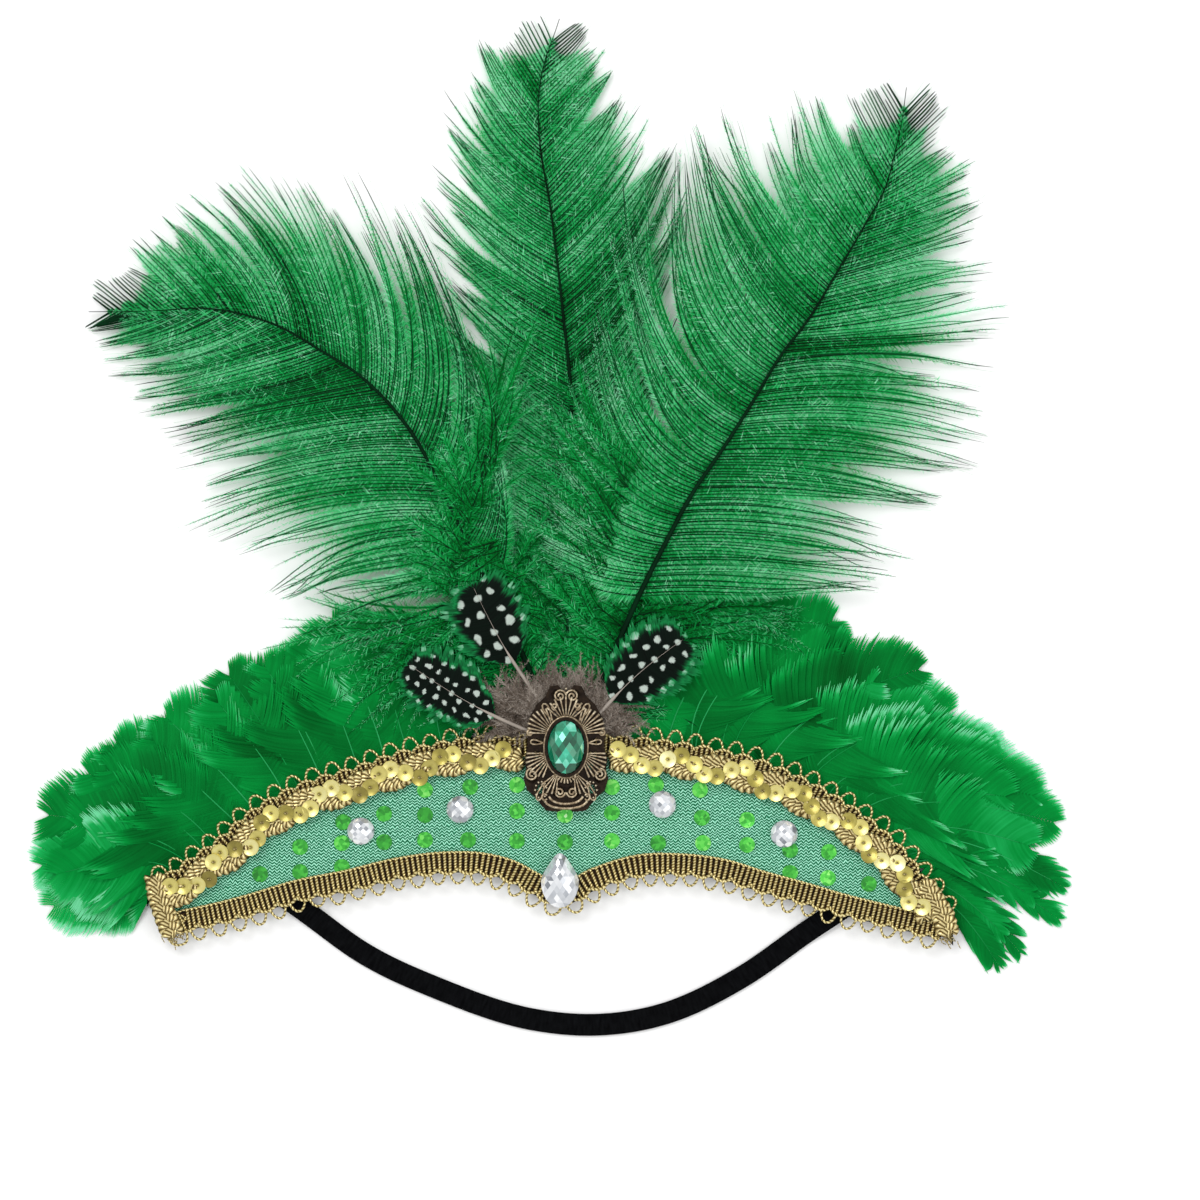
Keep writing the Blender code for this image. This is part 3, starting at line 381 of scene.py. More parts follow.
def thread_finish(name, dark, gold, pitch):
    """Gimp cord: metallised gold thread laid round a dark core in slanting turns a pitch apart, so
    gold ridges alternate with dark grooves, and the palest stop on each ridge's crest is a painted
    highlight. The slant is read from the length and turn of the lay."""
    material, tree, shader = finish_of(name, {"Roughness": 0.36, "Metallic": 0.75})
    parts = put(tree, "SeparateXYZ", None, {"Vector": lay_in(tree)})
    turns = maths(tree, "MULTIPLY_ADD", parts["X"], 1.0 / pitch, parts["Y"])
    level = maths(tree, "MULTIPLY", maths(tree, "PINGPONG", turns, 0.5), 2.0)
    # the palest stop, #F2E6AE, is a painted highlight on the crest of each turn
    coloured(tree, shader, level, ((0.0, dark), (0.18, dark), (0.5, gold), (1.0, "#F2E6AE")), 0.8)
    return material


gimp_cord = thread_finish("gold_gimp_cord", "#6A5626", "#D8C685", 0.0013)
gimp_rib = thread_finish("gold_gimp_rib", "#7C6630", "#CFB974", 0.0009)
plait_thread = thread_finish("gold_plait_thread", "#57461F", "#C2AA6E", 0.0011)


def ground_finish():
    """Dark brown thread ground of the gimp: threads too fine to show, so a fine mottle stands in."""
    material, tree, shader = finish_of("brown_thread_ground", {"Roughness": 0.8, "Specular IOR Level": 0.1})
    threads = noise(tree, place_in(tree), 1500.0, 1.0)
    coloured(tree, shader, threads, ((0.3, "#0E0804"), (0.6, "#2A1B0C"), (0.8, "#6A4E26")))
    return material


gimp_ground = ground_finish()


def sequin_finish(name, stops, rough, metallic, relief):
    """Sequin of metallised film: mirror-like, with faint flat scratches, and a brightness for each disc that
    is painted reflection.
    """
    constants = {"Roughness": rough, "Metallic": metallic, "Coat Weight": 0.4, "Coat Roughness": 0.1}
    material, tree, shader = finish_of(name, constants)
    cells = put(tree, "TexVoronoi", None, {"Vector": place_in(tree), "Scale": 900.0})
    mix = maths(tree, "MULTIPLY_ADD", cells["Color"], relief, value_in(tree))
    coloured(tree, shader, maths(tree, "SUBTRACT", mix, relief / 2), stops)
    return material


gold_sequin = sequin_finish(
    "gold_cup_sequin",
    ((0.0, "#5E5220"), (0.35, "#A79A45"), (0.68, "#DCCF78"), (1.0, "#F8F2B4")),
    0.34, 0.70, 0.10,
)
# Laser-cut holographic film: small cells that each throw another tint of green, painted into the colour as
# fixed reflections.
green_sequin = sequin_finish(
    "holographic_green_sequin",
    ((0.0, "#1B7A22"), (0.35, "#2FA32F"), (0.7, "#57D64A"), (0.95, "#9BF07A"), (1.0, "#E8FFE0")),
    0.22, 0.55, 0.75,
)


def weave_finish():
    """Mint brocade: rows of short slanting floats in a zigzag, rows 1.0 mm and zigzag 1.6 mm, with
    pale floats over a darker green ground; the near-white crest of each float is painted sheen."""
    rows_a_metre, bends_a_metre, slope, waver = 1000.0, 1250.0, 0.80, 1.3
    material, tree, shader = finish_of("mint_zigzag_weave", {"Roughness": 0.5, "Specular IOR Level": 0.2})
    place = place_in(tree)
    axes = put(tree, "SeparateXYZ", None, {"Vector": place})
    zig = maths(tree, "PINGPONG", maths(tree, "MULTIPLY", axes["X"], bends_a_metre), 1.0)
    rise = maths(tree, "MULTIPLY", axes["Y"], rows_a_metre)
    slant = maths(tree, "MULTIPLY_ADD", zig, slope, rise)
    stray = maths(tree, "MULTIPLY_ADD", noise(tree, place, 560.0, 2.0), waver, slant)
    level = maths(tree, "MULTIPLY", maths(tree, "PINGPONG", stray, 0.5), 2.0)
    # the top stops near white are painted sheen on the floats' crests
    stops = ((0.0, "#023A20"), (0.30, "#0B6540"), (0.55, "#2FA073"), (0.76, "#8FE3BF"), (1.0, "#D2FFEE"))
    coloured(tree, shader, level, stops, 0.7)
    return material


mint_weave = weave_finish()


def dark_cloth(name, low, high, scale, stretch):
    """Matt black textile: fibres too fine to show, so a mottle stretched along them stands in."""
    material, tree, shader = finish_of(name, {"Roughness": 0.9, "Specular IOR Level": 0.06})
    turn = put(tree, "Mapping", None, {"Vector": lay_in(tree), "Scale": (1.0, stretch, 1.0)})
    coloured(tree, shader, noise(tree, turn[0], scale, 3.0), ((0.3, low), (0.7, high)), 0.5)
    return material


black_felt = dark_cloth("black_wool_felt", "#020202", "#0C0D0D", 1800.0, 1.0)
# Knitted elastic: its mottle runs four times as long across the strap as along it.
black_elastic = dark_cloth("black_knitted_elastic", "#010102", "#0B0C0E", 1100.0, 0.25)


def bronze_finish(name, stops):
    """Antiqued cast bronze: near-black patina in the recesses, rubbed to warm metal on the ridges,
    told apart by the pointiness of the form and a fine mottle."""
    material, tree, shader = finish_of(name, {"Metallic": 0.85, "Roughness": 0.40})
    mottle = noise(tree, place_in(tree), 1100.0, 3.0)
    pointed = put(tree, "NewGeometry")["Pointiness"]
    coloured(tree, shader, maths(tree, "MULTIPLY_ADD", mottle, 0.30, pointed), stops)
    return material


# Wires: patina in the recesses, rubbed metal on the ridges, and the palest stop a painted highlight on them.
bronze = bronze_finish(
    "rubbed_bronze_painted_highlight", ((0.54, "#18110C"), (0.63, "#4A3C2F"), (0.72, "#96846A"), (0.82, "#D6C8AC"))
)
# Plate: patina, made dark enough to stand in as painted shade for the openings of the pierced brooch.
bronze_patina_gap_shade = bronze_finish("blackened_bronze_gap_shade", ((0.50, "#0B0705"), (0.66, "#1C140E"), (0.80, "#33271C")))


def stone_finish(name, stops):
    """Foil-backed acrylic: a hard gloss over facets, each with a random tone that stands for the foil it
    mirrors: painted reflection.
    """
    coat = {"Coat Weight": 1.0, "Coat Roughness": 0.02, "Coat IOR": 1.49}
    material, tree, shader = finish_of(name, {"Roughness": 0.08, "Metallic": 0.35, **coat})
    cloud = noise(tree, place_in(tree), 500.0, 2.0)
    level = maths(tree, "MULTIPLY_ADD", cloud, 0.30, value_in(tree, "tone"))
    coloured(tree, shader, maths(tree, "SUBTRACT", level, 0.15), stops)
    return material


green_stone = stone_finish(
    "foiled_green_acrylic",
    ((0.0, "#022318"), (0.3, "#075238"), (0.6, "#0E8660"), (0.85, "#3FC7A1"), (1.0, "#9AEDD5")),
)
clear_stone = stone_finish(
    "foiled_clear_acrylic",
    ((0.0, "#83888F"), (0.3, "#B4B8BE"), (0.6, "#DADDE1"), (1.0, "#FCFDFE")),
)


# Shapes
UP = np.array((0.0, 0.0, 1.0))


def read(table, at):
    """A table's rows at values of its first column: between neighbours a cubic whose end slopes are
    the table's own, so that the line is smooth."""
    rows = np.array(table)
    x = rows[:, 0]
    slopes = np.gradient(rows, x, axis=0)
    at = np.asarray(at, dtype=float)
    i = np.clip(np.searchsorted(x, at) - 1, 0, len(x) - 2)
    step = (x[i + 1] - x[i])[..., None]
    t = (at - x[i])[..., None] / step
    start = (1 + 2 * t) * (1 - t) ** 2 * rows[i] + t * (1 - t) ** 2 * step * slopes[i]
    return start + t * t * (3 - 2 * t) * rows[i + 1] - t * t * (1 - t) * step * slopes[i + 1]


def smooth(x):
    """A smooth step from 0 to 1."""
    x = np.clip(x, 0.0, 1.0)
    return x * x * (3 - 2 * x)


def unit(v):
    """Vectors made one long."""
    return v / np.maximum(np.linalg.norm(v, axis=-1, keepdims=True), 1e-12)


def left_of(way):
    """The flat direction to the left of a way."""
    return np.stack((-way[..., 1], way[..., 0]), -1)


def towards(angle):
    """The flat direction at an angle."""
    return np.stack((np.cos(angle), np.sin(angle)), -1)


def raised(flat, height):
    """Flat points with their height."""
    return np.concatenate((flat, np.broadcast_to(height, flat.shape[:-1])[..., None]), -1)


def run_along(path):
    """The length run so far at each point of each path."""
    return np.cumsum(np.linalg.norm(np.diff(path, axis=-2, prepend=path[..., :1, :]), axis=-1), axis=-1)


def edges(along):
    """The band's x, upper y and lower y at shares of its length."""
    along = np.clip(along, BAND[0][0], BAND[-1][0])
    row = read(BAND, along)
    return along * BAND_LENGTH, row[..., 1] * BAND_HEIGHT, row[..., 2] * BAND_HEIGHT


def on_band(along, height):
    """A point of the band's face, at a share of its length and of its height there."""
    x, upper, lower = edges(along)
    return np.array((x, lower + height * (upper - lower)))


def edge_track(side, first, last, inward):
    """The band's upper (1) or lower (-1) edge, moved inward: its points, the way out of the band
    there, and the length run so far."""
    x, upper, lower = edges(np.linspace(first, last, 1600))
    line = np.stack((x, upper if side > 0 else lower), axis=1)
    out = left_of(unit(np.gradient(line, axis=0))) * side
    line = line - out * inward
    return line, out, run_along(line)


def carried(track, run, out, height):
    """Points at lengths along a track, a distance out from it, at a height."""
    line, way_out, length = track
    flat = [np.interp(run, length, line[:, i]) + np.interp(run, length, way_out[:, i]) * out for i in (0, 1)]
    return raised(np.stack(flat, -1), height)


def made(name, parts, materials, smooth_faces=True):
    """One mesh object of parts. A part is its points, lists of faces (m, corners), their lay, a shade
    for each point, and which material it has. The lay is one for each point or a list with one for
    each corner of the faces, or none."""
    mesh = bpy.data.meshes.new(name)
    corners, sizes, lays, slots, points, shades = [], [], [], [], [], []
    first = 0
    for spots, faces, lay, shade, slot in parts:
        for number, face in enumerate(faces):
            corners.append((face + first).ravel())
            sizes.append(np.full(len(face), face.shape[1]))
            slots.append(np.full(len(face), slot))
            if lay is None:
                lays.append(np.zeros((face.size, 2)))
            else:
                lays.append((lay[number] if isinstance(lay, list) else lay[face]).reshape(-1, 2))
        points.append(spots.reshape(-1, 3))
        shades.append(np.broadcast_to(shade, (len(points[-1]),)))
        first += len(points[-1])
    corners = np.concatenate(corners)
    sizes = np.concatenate(sizes)
    starts = np.concatenate(([0], np.cumsum(sizes)[:-1]))
    mesh.vertices.add(first)
    mesh.loops.add(len(corners))
    mesh.polygons.add(len(sizes))
    mesh.vertices.foreach_set("co", np.concatenate(points).astype(np.float32).ravel())
    mesh.loops.foreach_set("vertex_index", corners.astype(np.int32))
    mesh.polygons.foreach_set("loop_start", starts.astype(np.int32))
    mesh.polygons.foreach_set("material_index", np.concatenate(slots).astype(np.int32))
    mesh.polygons.foreach_set("use_smooth", np.full(len(sizes), smooth_faces))
    mesh.uv_layers.new(name="lay").data.foreach_set("uv", np.concatenate(lays).astype(np.float32).ravel())
    values = mesh.attributes.new("shade", "FLOAT", "POINT")
    values.data.foreach_set("value", np.concatenate(shades).astype(np.float32))
    mesh.update(calc_edges=True)
    mesh.validate()
    for material in materials:
        mesh.materials.append(material)
    return placed(name, mesh)


def placed(name, mesh):
    """An object of a mesh, which rides on the one body."""
    obj = bpy.data.objects.new(name, mesh)
    bpy.context.collection.objects.link(obj)
    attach(obj, "root")
    return obj


def across(path, closed=False):
    """The way each path goes, and the flat direction to the right of it."""
    if closed:
        way = unit(np.roll(path, -1, axis=-2) - np.roll(path, 1, axis=-2))
    else:
        way = unit(np.gradient(path, axis=-2))
    return way, unit(raised(-left_of(way), 0.0))


def ribbons(path, width, roll, shade, slot):
    """Flat ribbons: paths (n, k, 3) widened by half the width to each side, the side rolled out of
    the plane. The lay is the length run and the distance across."""
    side = across(path)[1] * np.cos(roll)[..., None] + UP * np.sin(roll)[..., None]
    half = side * (width / 2)[..., None]
    points = np.stack((path - half, path + half), axis=2)
    index = np.arange(points[..., 0].size).reshape(points.shape[:3])
    faces = np.stack((index[:, :-1, 0], index[:, :-1, 1], index[:, 1:, 1], index[:, 1:, 0]), -1)
    run = run_along(path)
    lay = np.stack((np.stack((run, run), -1), np.stack((-width / 2, width / 2), -1)), -1)
    shade = np.broadcast_to(shade[..., None], points.shape[:3]).ravel()
    return points, [faces.reshape(-1, 4)], lay.reshape(-1, 2), shade, slot


def joined(here, ahead):
    """Faces between closed rings of points and the next rings."""
    return np.stack((here, ahead, np.roll(ahead, -1, -1), np.roll(here, -1, -1)), -1).reshape(-1, 4)


def tubes(path, radius, sides, shade, slot, closed=False, flat=1.0, plies=0, pitch=1.0, groove=0.0):
    """Round cords and wires: each ring stands square to its path, flattened in height, and with plies
    its radius swells and dips as they wind round once a pitch. Ends are capped. The lay is the length
    run and the share of the turn."""
    n, k = path.shape[:2]
    way, right = across(path, closed)
    up = np.cross(right, way)
    turn = 2 * np.pi * np.arange(sides) / sides
    run = run_along(path)
    swell = 1 - groove * (0.5 - 0.5 * np.cos(plies * turn - 2 * np.pi * run[..., None] / pitch))
    reach = np.broadcast_to(radius, (n, k))[..., None] * swell
    points = path[:, :, None] + (
        right[:, :, None] * (np.cos(turn) * reach)[..., None]
        + up[:, :, None] * (np.sin(turn) * reach * flat)[..., None]
    )
    index = np.arange(n * k * sides).reshape(n, k, sides)
    if closed:
        here, ahead = index, np.roll(index, -1, axis=1)
        near, far = run, np.concatenate((run[:, 1:], run[:, -1:] + CLOSING_STEP), axis=1)
    else:
        here, ahead, near, far = index[:, :-1], index[:, 1:], run[:, :-1], run[:, 1:]
    near, far, low = np.broadcast_arrays(near[..., None], far[..., None], np.arange(sides) / sides)
    corners = ((near, low), (far, low), (far, low + 1 / sides), (near, low + 1 / sides))
    lays = [np.stack([np.stack(corner, -1) for corner in corners], axis=-2)]
    quads = [joined(here, ahead)]
    if not closed:
        quads.append(np.concatenate((index[:, 0], index[:, -1, ::-1])))
        lays.append(np.zeros((quads[1].size, 2)))
    shade = np.broadcast_to(np.reshape(shade, (-1, 1, 1)), (n, k, sides)).ravel()
    return points, quads, lays, shade, slot


def surface(points, shade, slot):
    """A sheet from points (rows, columns, 3), rows going right and columns going up."""
    index = np.arange(points[..., 0].size).reshape(points.shape[:2])
    faces = np.stack((index[:-1, :-1], index[1:, :-1], index[1:, 1:], index[:-1, 1:]), -1).reshape(-1, 4)
    return points, [faces], points[..., :2].reshape(-1, 2), shade, slot


def discs(middle, rings, relief, slope, buckle, shade, slot, filled):
    """Sequins: rings of points round each middle (n, 3), at a height of relief + slope·(x, y) +
    buckle·x·y above it. One that isn't filled has a hole."""
    flat = np.array(rings)[:, None, None] * towards(2 * np.pi * np.arange(SEQUIN_SIDES) / SEQUIN_SIDES)
    x, y = flat[..., 0], flat[..., 1]
    height = relief + slope[:, 0, None, None] * x + slope[:, 1, None, None] * y + buckle * x * y
    points = middle[:, None, None] + raised(np.broadcast_to(flat, (*height.shape, 2)), height)
    index = np.arange(height.size).reshape(height.shape)
    faces = [joined(index[:, :-1], index[:, 1:])] + ([index[:, 0]] if filled else [])
    return points, faces, None, np.broadcast_to(shade, height.shape).ravel(), slot


# Feathers
def locks(dice, count, mean):
    """Barbs stick together in locks: a lock number for each barb, with locks of a mean size, and how
    many locks there are."""
    lock = np.cumsum(dice.random(count) < 1.0 / mean)
    return lock, lock[-1] + 1


def ragged(dice, lock, locked, by_lock, by_barb):
    """A chance value for each barb: one that its lock shares and one of its own."""
    return dice.normal(0, by_lock, locked)[lock] + dice.normal(0, by_barb, len(lock))


def bent(here, bend, offset, pull, b):
    """Barbs from their feet: here + 2a(1-a)·bend + a²·offset + a³·pull."""
    return here[:, None] + 2 * b * (1 - b) * bend[:, None] + b * b * offset[:, None] + b**3 * pull[:, None]


def curling(foot, heading, curl, long, a):
    """Barbs whose heading turns by their own curl as they go: foot + long·a·(heading + curl·a)."""
    turned = heading[:, None] + curl[:, None] * a
    return foot[:, None] + (long[:, None] * a)[..., None] * towards(turned)


def fluffy(path, dice, shade, rows, length, fade, shaft=0.00046, under=0.0010, depth=0.0007, bare=True):
    """Barbs with their barbules. Along each barb, barbules spring to both sides at 32 to 56 degrees
    and reach on towards its tip; each is one slim triangle. They stop where the barb goes bare, at
    its own share of its length. A loose ribbon of the innermost barbules lies under each barb, and
    its dark shaft on top. The ribbon is painted 0.12 darker as shade under the barbs, and the
    barbules are painted paler towards the end of the barb, as light where the white floor shows
    through the thin fluff."""
    n, k = path.shape[:2]
    a = np.linspace(0, 1, k)
    fade = np.broadcast_to(np.asarray(fade, dtype=float), (n,))
    fuzz = np.clip(np.linalg.norm(np.diff(path, axis=1), axis=2).sum(1) / 0.030, 0.12, 1)
    way, right = across(path)
    roll = 0 * a + dice.normal(0, 0.3, (n, 1))
    cover = under * (1 - smooth((a - fade[:, None] + 0.45) / 0.42))
    cover = cover * dice.uniform(0.6, 1.3, (n, 1)) * fuzz[:, None]
    low = path - depth * UP
    low[..., 2] = np.maximum(low[..., 2], BARBULE_FLOOR)
    # painted shade: the ribbon under the barbs is 0.12 darker
    parts = [ribbons(low, np.maximum(cover, 0.00004), roll, shade[:, None] - 0.12 + 0 * a, 0)]
    if bare:
        slim = shaft * (1 - 0.45 * a) * (1.6 - 0.65 * fade[:, None]) * dice.uniform(0.75, 1.2, (n, 1))
        slim[:, -1] *= 0.3
        pale = 0.42 * a * (1 - smooth((a - fade[:, None] + 0.10) / 0.12))
        tone = 0.26 + 0.5 * (shade[:, None] - 0.5) + pale + dice.normal(0, 0.1, (n, 1))
        parts.append(ribbons(path, slim, roll, np.clip(tone, 0, 1), 1))
    place = (np.arange(rows) + dice.random((n, 2, rows))) / rows * fade[:, None, None]
    share = place / fade[:, None, None]
    spot = place * (k - 1)
    i = np.clip(spot.astype(int), 0, k - 2)
    part = (spot - i)[..., None]
    barb = np.arange(n)[:, None, None]
    base = path[barb, i] * (1 - part) + path[barb, i + 1] * part
    ahead = way[barb, i]
    out = right[barb, i] * np.array((-1.0, 1.0))[None, :, None, None]
    slant = np.radians(56 - 24 * share + dice.normal(0, 10, place.shape))[..., None]
    full = smooth(share / 0.06 + 0.3) * (1 - smooth((share - 0.45) / 0.55) * 0.68)
    reach = (length * fuzz[:, None, None] * full * dice.uniform(0.5, 1.3, place.shape))[..., None]
    rise = UP * dice.normal(-0.0001, 0.00045, place.shape)[..., None]
    base = base - 0.00012 * UP - depth * UP * dice.random(place.shape)[..., None]
    tip = base + (ahead * np.cos(slant) + out * np.sin(slant)) * reach + rise
    foot = ahead * (BARBULE_FOOT * dice.uniform(0.8, 1.25, place.shape))[..., None]
    points = np.stack((base - foot, base + foot, tip), axis=-2)
    points[..., 2] = np.maximum(points[..., 2], BARBULE_FLOOR)
    faces = np.arange(points.size // 3).reshape(n, 2, rows, 3)
    faces[:, 0] = faces[:, 0][..., [1, 0, 2]]
    # painted light: barbules pale towards the end of the barb, where the white floor shows through the fluff
    tint = shade[:, None, None] + 0.46 * (share - 0.36) + dice.normal(0, 0.17, place.shape)
    tint = np.clip(tint[..., None] + np.array((-0.12, -0.12, 0.16)), 0, 1)
    parts.append((points, [faces.reshape(-1, 3)], None, tint.ravel(), 0))
    return parts


def plume(name, seed, bare_from, sweeps, tint, loose=0.10):
    """An ostrich plume. A barb leaves the rachis along its outward normal, turned forward by its side's
    sweep (from the foot's to the tip's), then bends towards the plume's tip. The barbs of one lock
    draw together towards their ends, by a loose draw and up to 0.70 more. Barbs go bare from
    bare_from on along the rachis."""
    along, rows = PLUMES[name]
    table = np.array(rows) / 1000
    length = PLUME_LENGTHS[name]
    dice = np.random.default_rng(seed)
    x0, upper, _ = edges(along)
    root = np.array((x0, upper - ROOT_DEPTH))
    start = next(row[0] for row in table if abs(row[4]) > 0.05)
    count = int((1 - start) * length / BARB_SPACING)
    a = np.linspace(0, 1, 15)
    b = a[None, :, None]
    parts = []
    for column, sign, sweep in ((4, 1, sweeps[0]), (7, -1, sweeps[1])):
        q = np.linspace(0, 1, count)
        s = start + (LAST_BARB - start) * (q + 0.07 * q**9) / 1.07 + dice.normal(0, 0.0008, count)
        row, ahead, behind = [read(table, np.clip(s + step, 0, 1)) for step in (0.0, 0.01, -0.01)]
        way = unit(ahead[:, 1:3] - behind[:, 1:3])
        lock, locked = locks(dice, count, 3.6)
        middle = np.bincount(lock, s) / np.maximum(np.bincount(lock), 1)
        mid = read(table, np.clip(middle[lock], 0, 1))
        longer = (0.97 + np.clip(dice.normal(0, 0.11, locked), -0.26, 0.08))[lock]
        longer = longer * (1 + np.clip(dice.normal(0, 0.06, count), -0.16, 0.05))
        draw = dice.uniform(loose, loose + 0.70, locked)[lock] * (1 - 0.8 * smooth((s - 0.80) / 0.15))
        here = row[:, 1:3] * length + root
        offset = row[:, column : column + 2] * length * longer[:, None]
        gather = mid[:, 1:3] * length + root + mid[:, column : column + 2] * length * longer[:, None]
        pull = (gather - here - offset) * draw[:, None]
        reach = np.linalg.norm(offset, axis=1)
        straight = smooth((s - 0.72) / 0.22)
        swept = (sweep[0] + (sweep[1] - sweep[0]) * s)[:, None]
        bend = (left_of(way) * sign + way * swept) / np.hypot(1, swept)
        bend = bend * (reach * 0.44 * (1 - straight))[:, None] + offset * 0.5 * straight[:, None]
        flat = bent(here, bend, offset, pull, b)
        sway = ragged(dice, lock, locked, 0.0012, 0.0005) * np.clip(reach / 0.04, 0, 1) ** 2
        turn = dice.uniform(0, 6.28, locked)[lock]
        curl = ragged(dice, lock, locked, 0.0020, 0.0012) * np.clip(reach / 0.04, 0, 1) * (1 - straight)
        aside = sway[:, None] * a**1.5 * np.sin(a * 5 + turn[:, None])
        aside = aside + curl[:, None] * smooth((a - 0.55) / 0.45) ** 2
        flat += way[:, None] * aside[..., None]
        lift = row[:, 3:4] * (1 - a**2) + row[:, column + 2 : column + 3] * a**2
        height = PLUME_REST + PLUME_LIFT * lift + ragged(dice, lock, locked, 0.0006, 0.0002)[:, None] * a
        path = raised(flat, np.maximum(height, BARB_FLOOR))
        tone = tint + ragged(dice, lock, locked, 0.11, 0.07)
        fade = 0.93 + dice.normal(0, 0.045, count) - 0.92 * smooth((s - bare_from) / (0.975 - bare_from))
        fade = np.clip(fade, 0.05, 0.985)
        parts += fluffy(path, dice, tone, 104, BARBULE_LENGTH, fade)
        lower = path.copy()
        lower[..., :2] += dice.normal(0, 0.0012, (count, 1, 2)) * b
        lower[..., 2] = np.maximum(lower[..., 2] - 0.0011, VANE_FLOOR)
        # painted shade: the lower layer of barbs is 0.10 darker, lying under the upper one
        parts += fluffy(lower, dice, tone - 0.10, 70, 0.0036, fade * 0.86, 0.0, 0.0014, 0.0004, False)
    s = np.linspace(0, 1, 60)
    row = read(table, s)
    spine = raised(row[:, 1:3] * length + root, PLUME_REST + PLUME_LIFT * row[:, 3] + 0.0004)
    parts.append(tubes(spine[None], 0.00096 * (1 - s) ** 1.1 + 0.00011, 8, 0.25, 1))
    obj = made("ostrich_plume_" + name, parts, [ostrich_fluff, ostrich_shaft])
    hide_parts("plume_" + name)


# Loose fluff at the plumes' feet. Rows: foot from x, y to x, y; heading from, to in degrees; length
# from, to; height from, to; how many barbs. Millimetres.
FOOT_FLUFF = (
    (-8, 34, -24, 72, 172, 196, 34, 60, 3.5, 8.5, 90),
    (-6, 34, -24, 72, 70, 84, 30, 52, 3.0, 8.0, 60),
    (2, 30, 2, 74, 138, 122, 24, 40, 3.0, 5.5, 70),
    (2, 30, 2, 74, 42, 52, 22, 40, 2.5, 4.5, 60),
    (12, 30, 26, 74, 150, 140, 22, 44, 3.5, 7.5, 100),
    (16, 30, 30, 74, 10, 20, 30, 56, 3.0, 7.0, 90),
    (-4, 60, -22, 92, 150, 205, 26, 44, 9.0, 11.0, 60),
    (8, 64, 24, 116, 118, 128, 26, 46, 9.0, 10.5, 80),
    (-42, 78, -20, 122, 62, 84, 26, 44, 9.8, 11.5, 110),
    (17, 54, 34, 86, 20, 60, 18, 34, 5.5, 8.0, 70),
    (-36, 76, -29, 104, 152, 124, 20, 36, 11.2, 12.0, 60),
    (-24, 50, -46, 64, 166, 180, 30, 46, 4.5, 6.5, 60),
    (32, 56, 46, 68, 4, 22, 24, 42, 4.5, 6.5, 50),
)

def foot_fluff(seed):
    """Loose ostrich barbs at the plumes' feet, each curling its own way and sagging towards its tip."""
    dice = np.random.default_rng(seed)
    a = np.linspace(0, 1, 13)
    parts = []
    for x0, y0, x1, y1, head0, head1, long0, long1, high0, high1, count in FOOT_FLUFF:
        q = dice.random(count)
        foot = np.column_stack((x0 + (x1 - x0) * q, y0 + (y1 - y0) * q)) + dice.normal(0, 1.6, (count, 2))
        heading = np.radians(head0 + (head1 - head0) * q + dice.normal(0, 9, count))
        long = (long0 + (long1 - long0) * q) * dice.uniform(0.6, 1.15, count)
        flat = curling(foot, heading, dice.normal(0, 0.28, count), long, a)
        high = (high0 + (high1 - high0) * q)[:, None] * (1 - 0.30 * a**2) + dice.normal(0, 0.5, (count, 1))
        tone = 0.42 + dice.normal(0, 0.10, count)
        path = raised(flat, np.maximum(high, 1.0)) * MM
        parts += fluffy(path, dice, tone, 60, BARBULE_LENGTH, 0.97, 0.00028, 0.0011)
    obj = made("plume_foot_fluff", parts, [ostrich_fluff, ostrich_shaft])


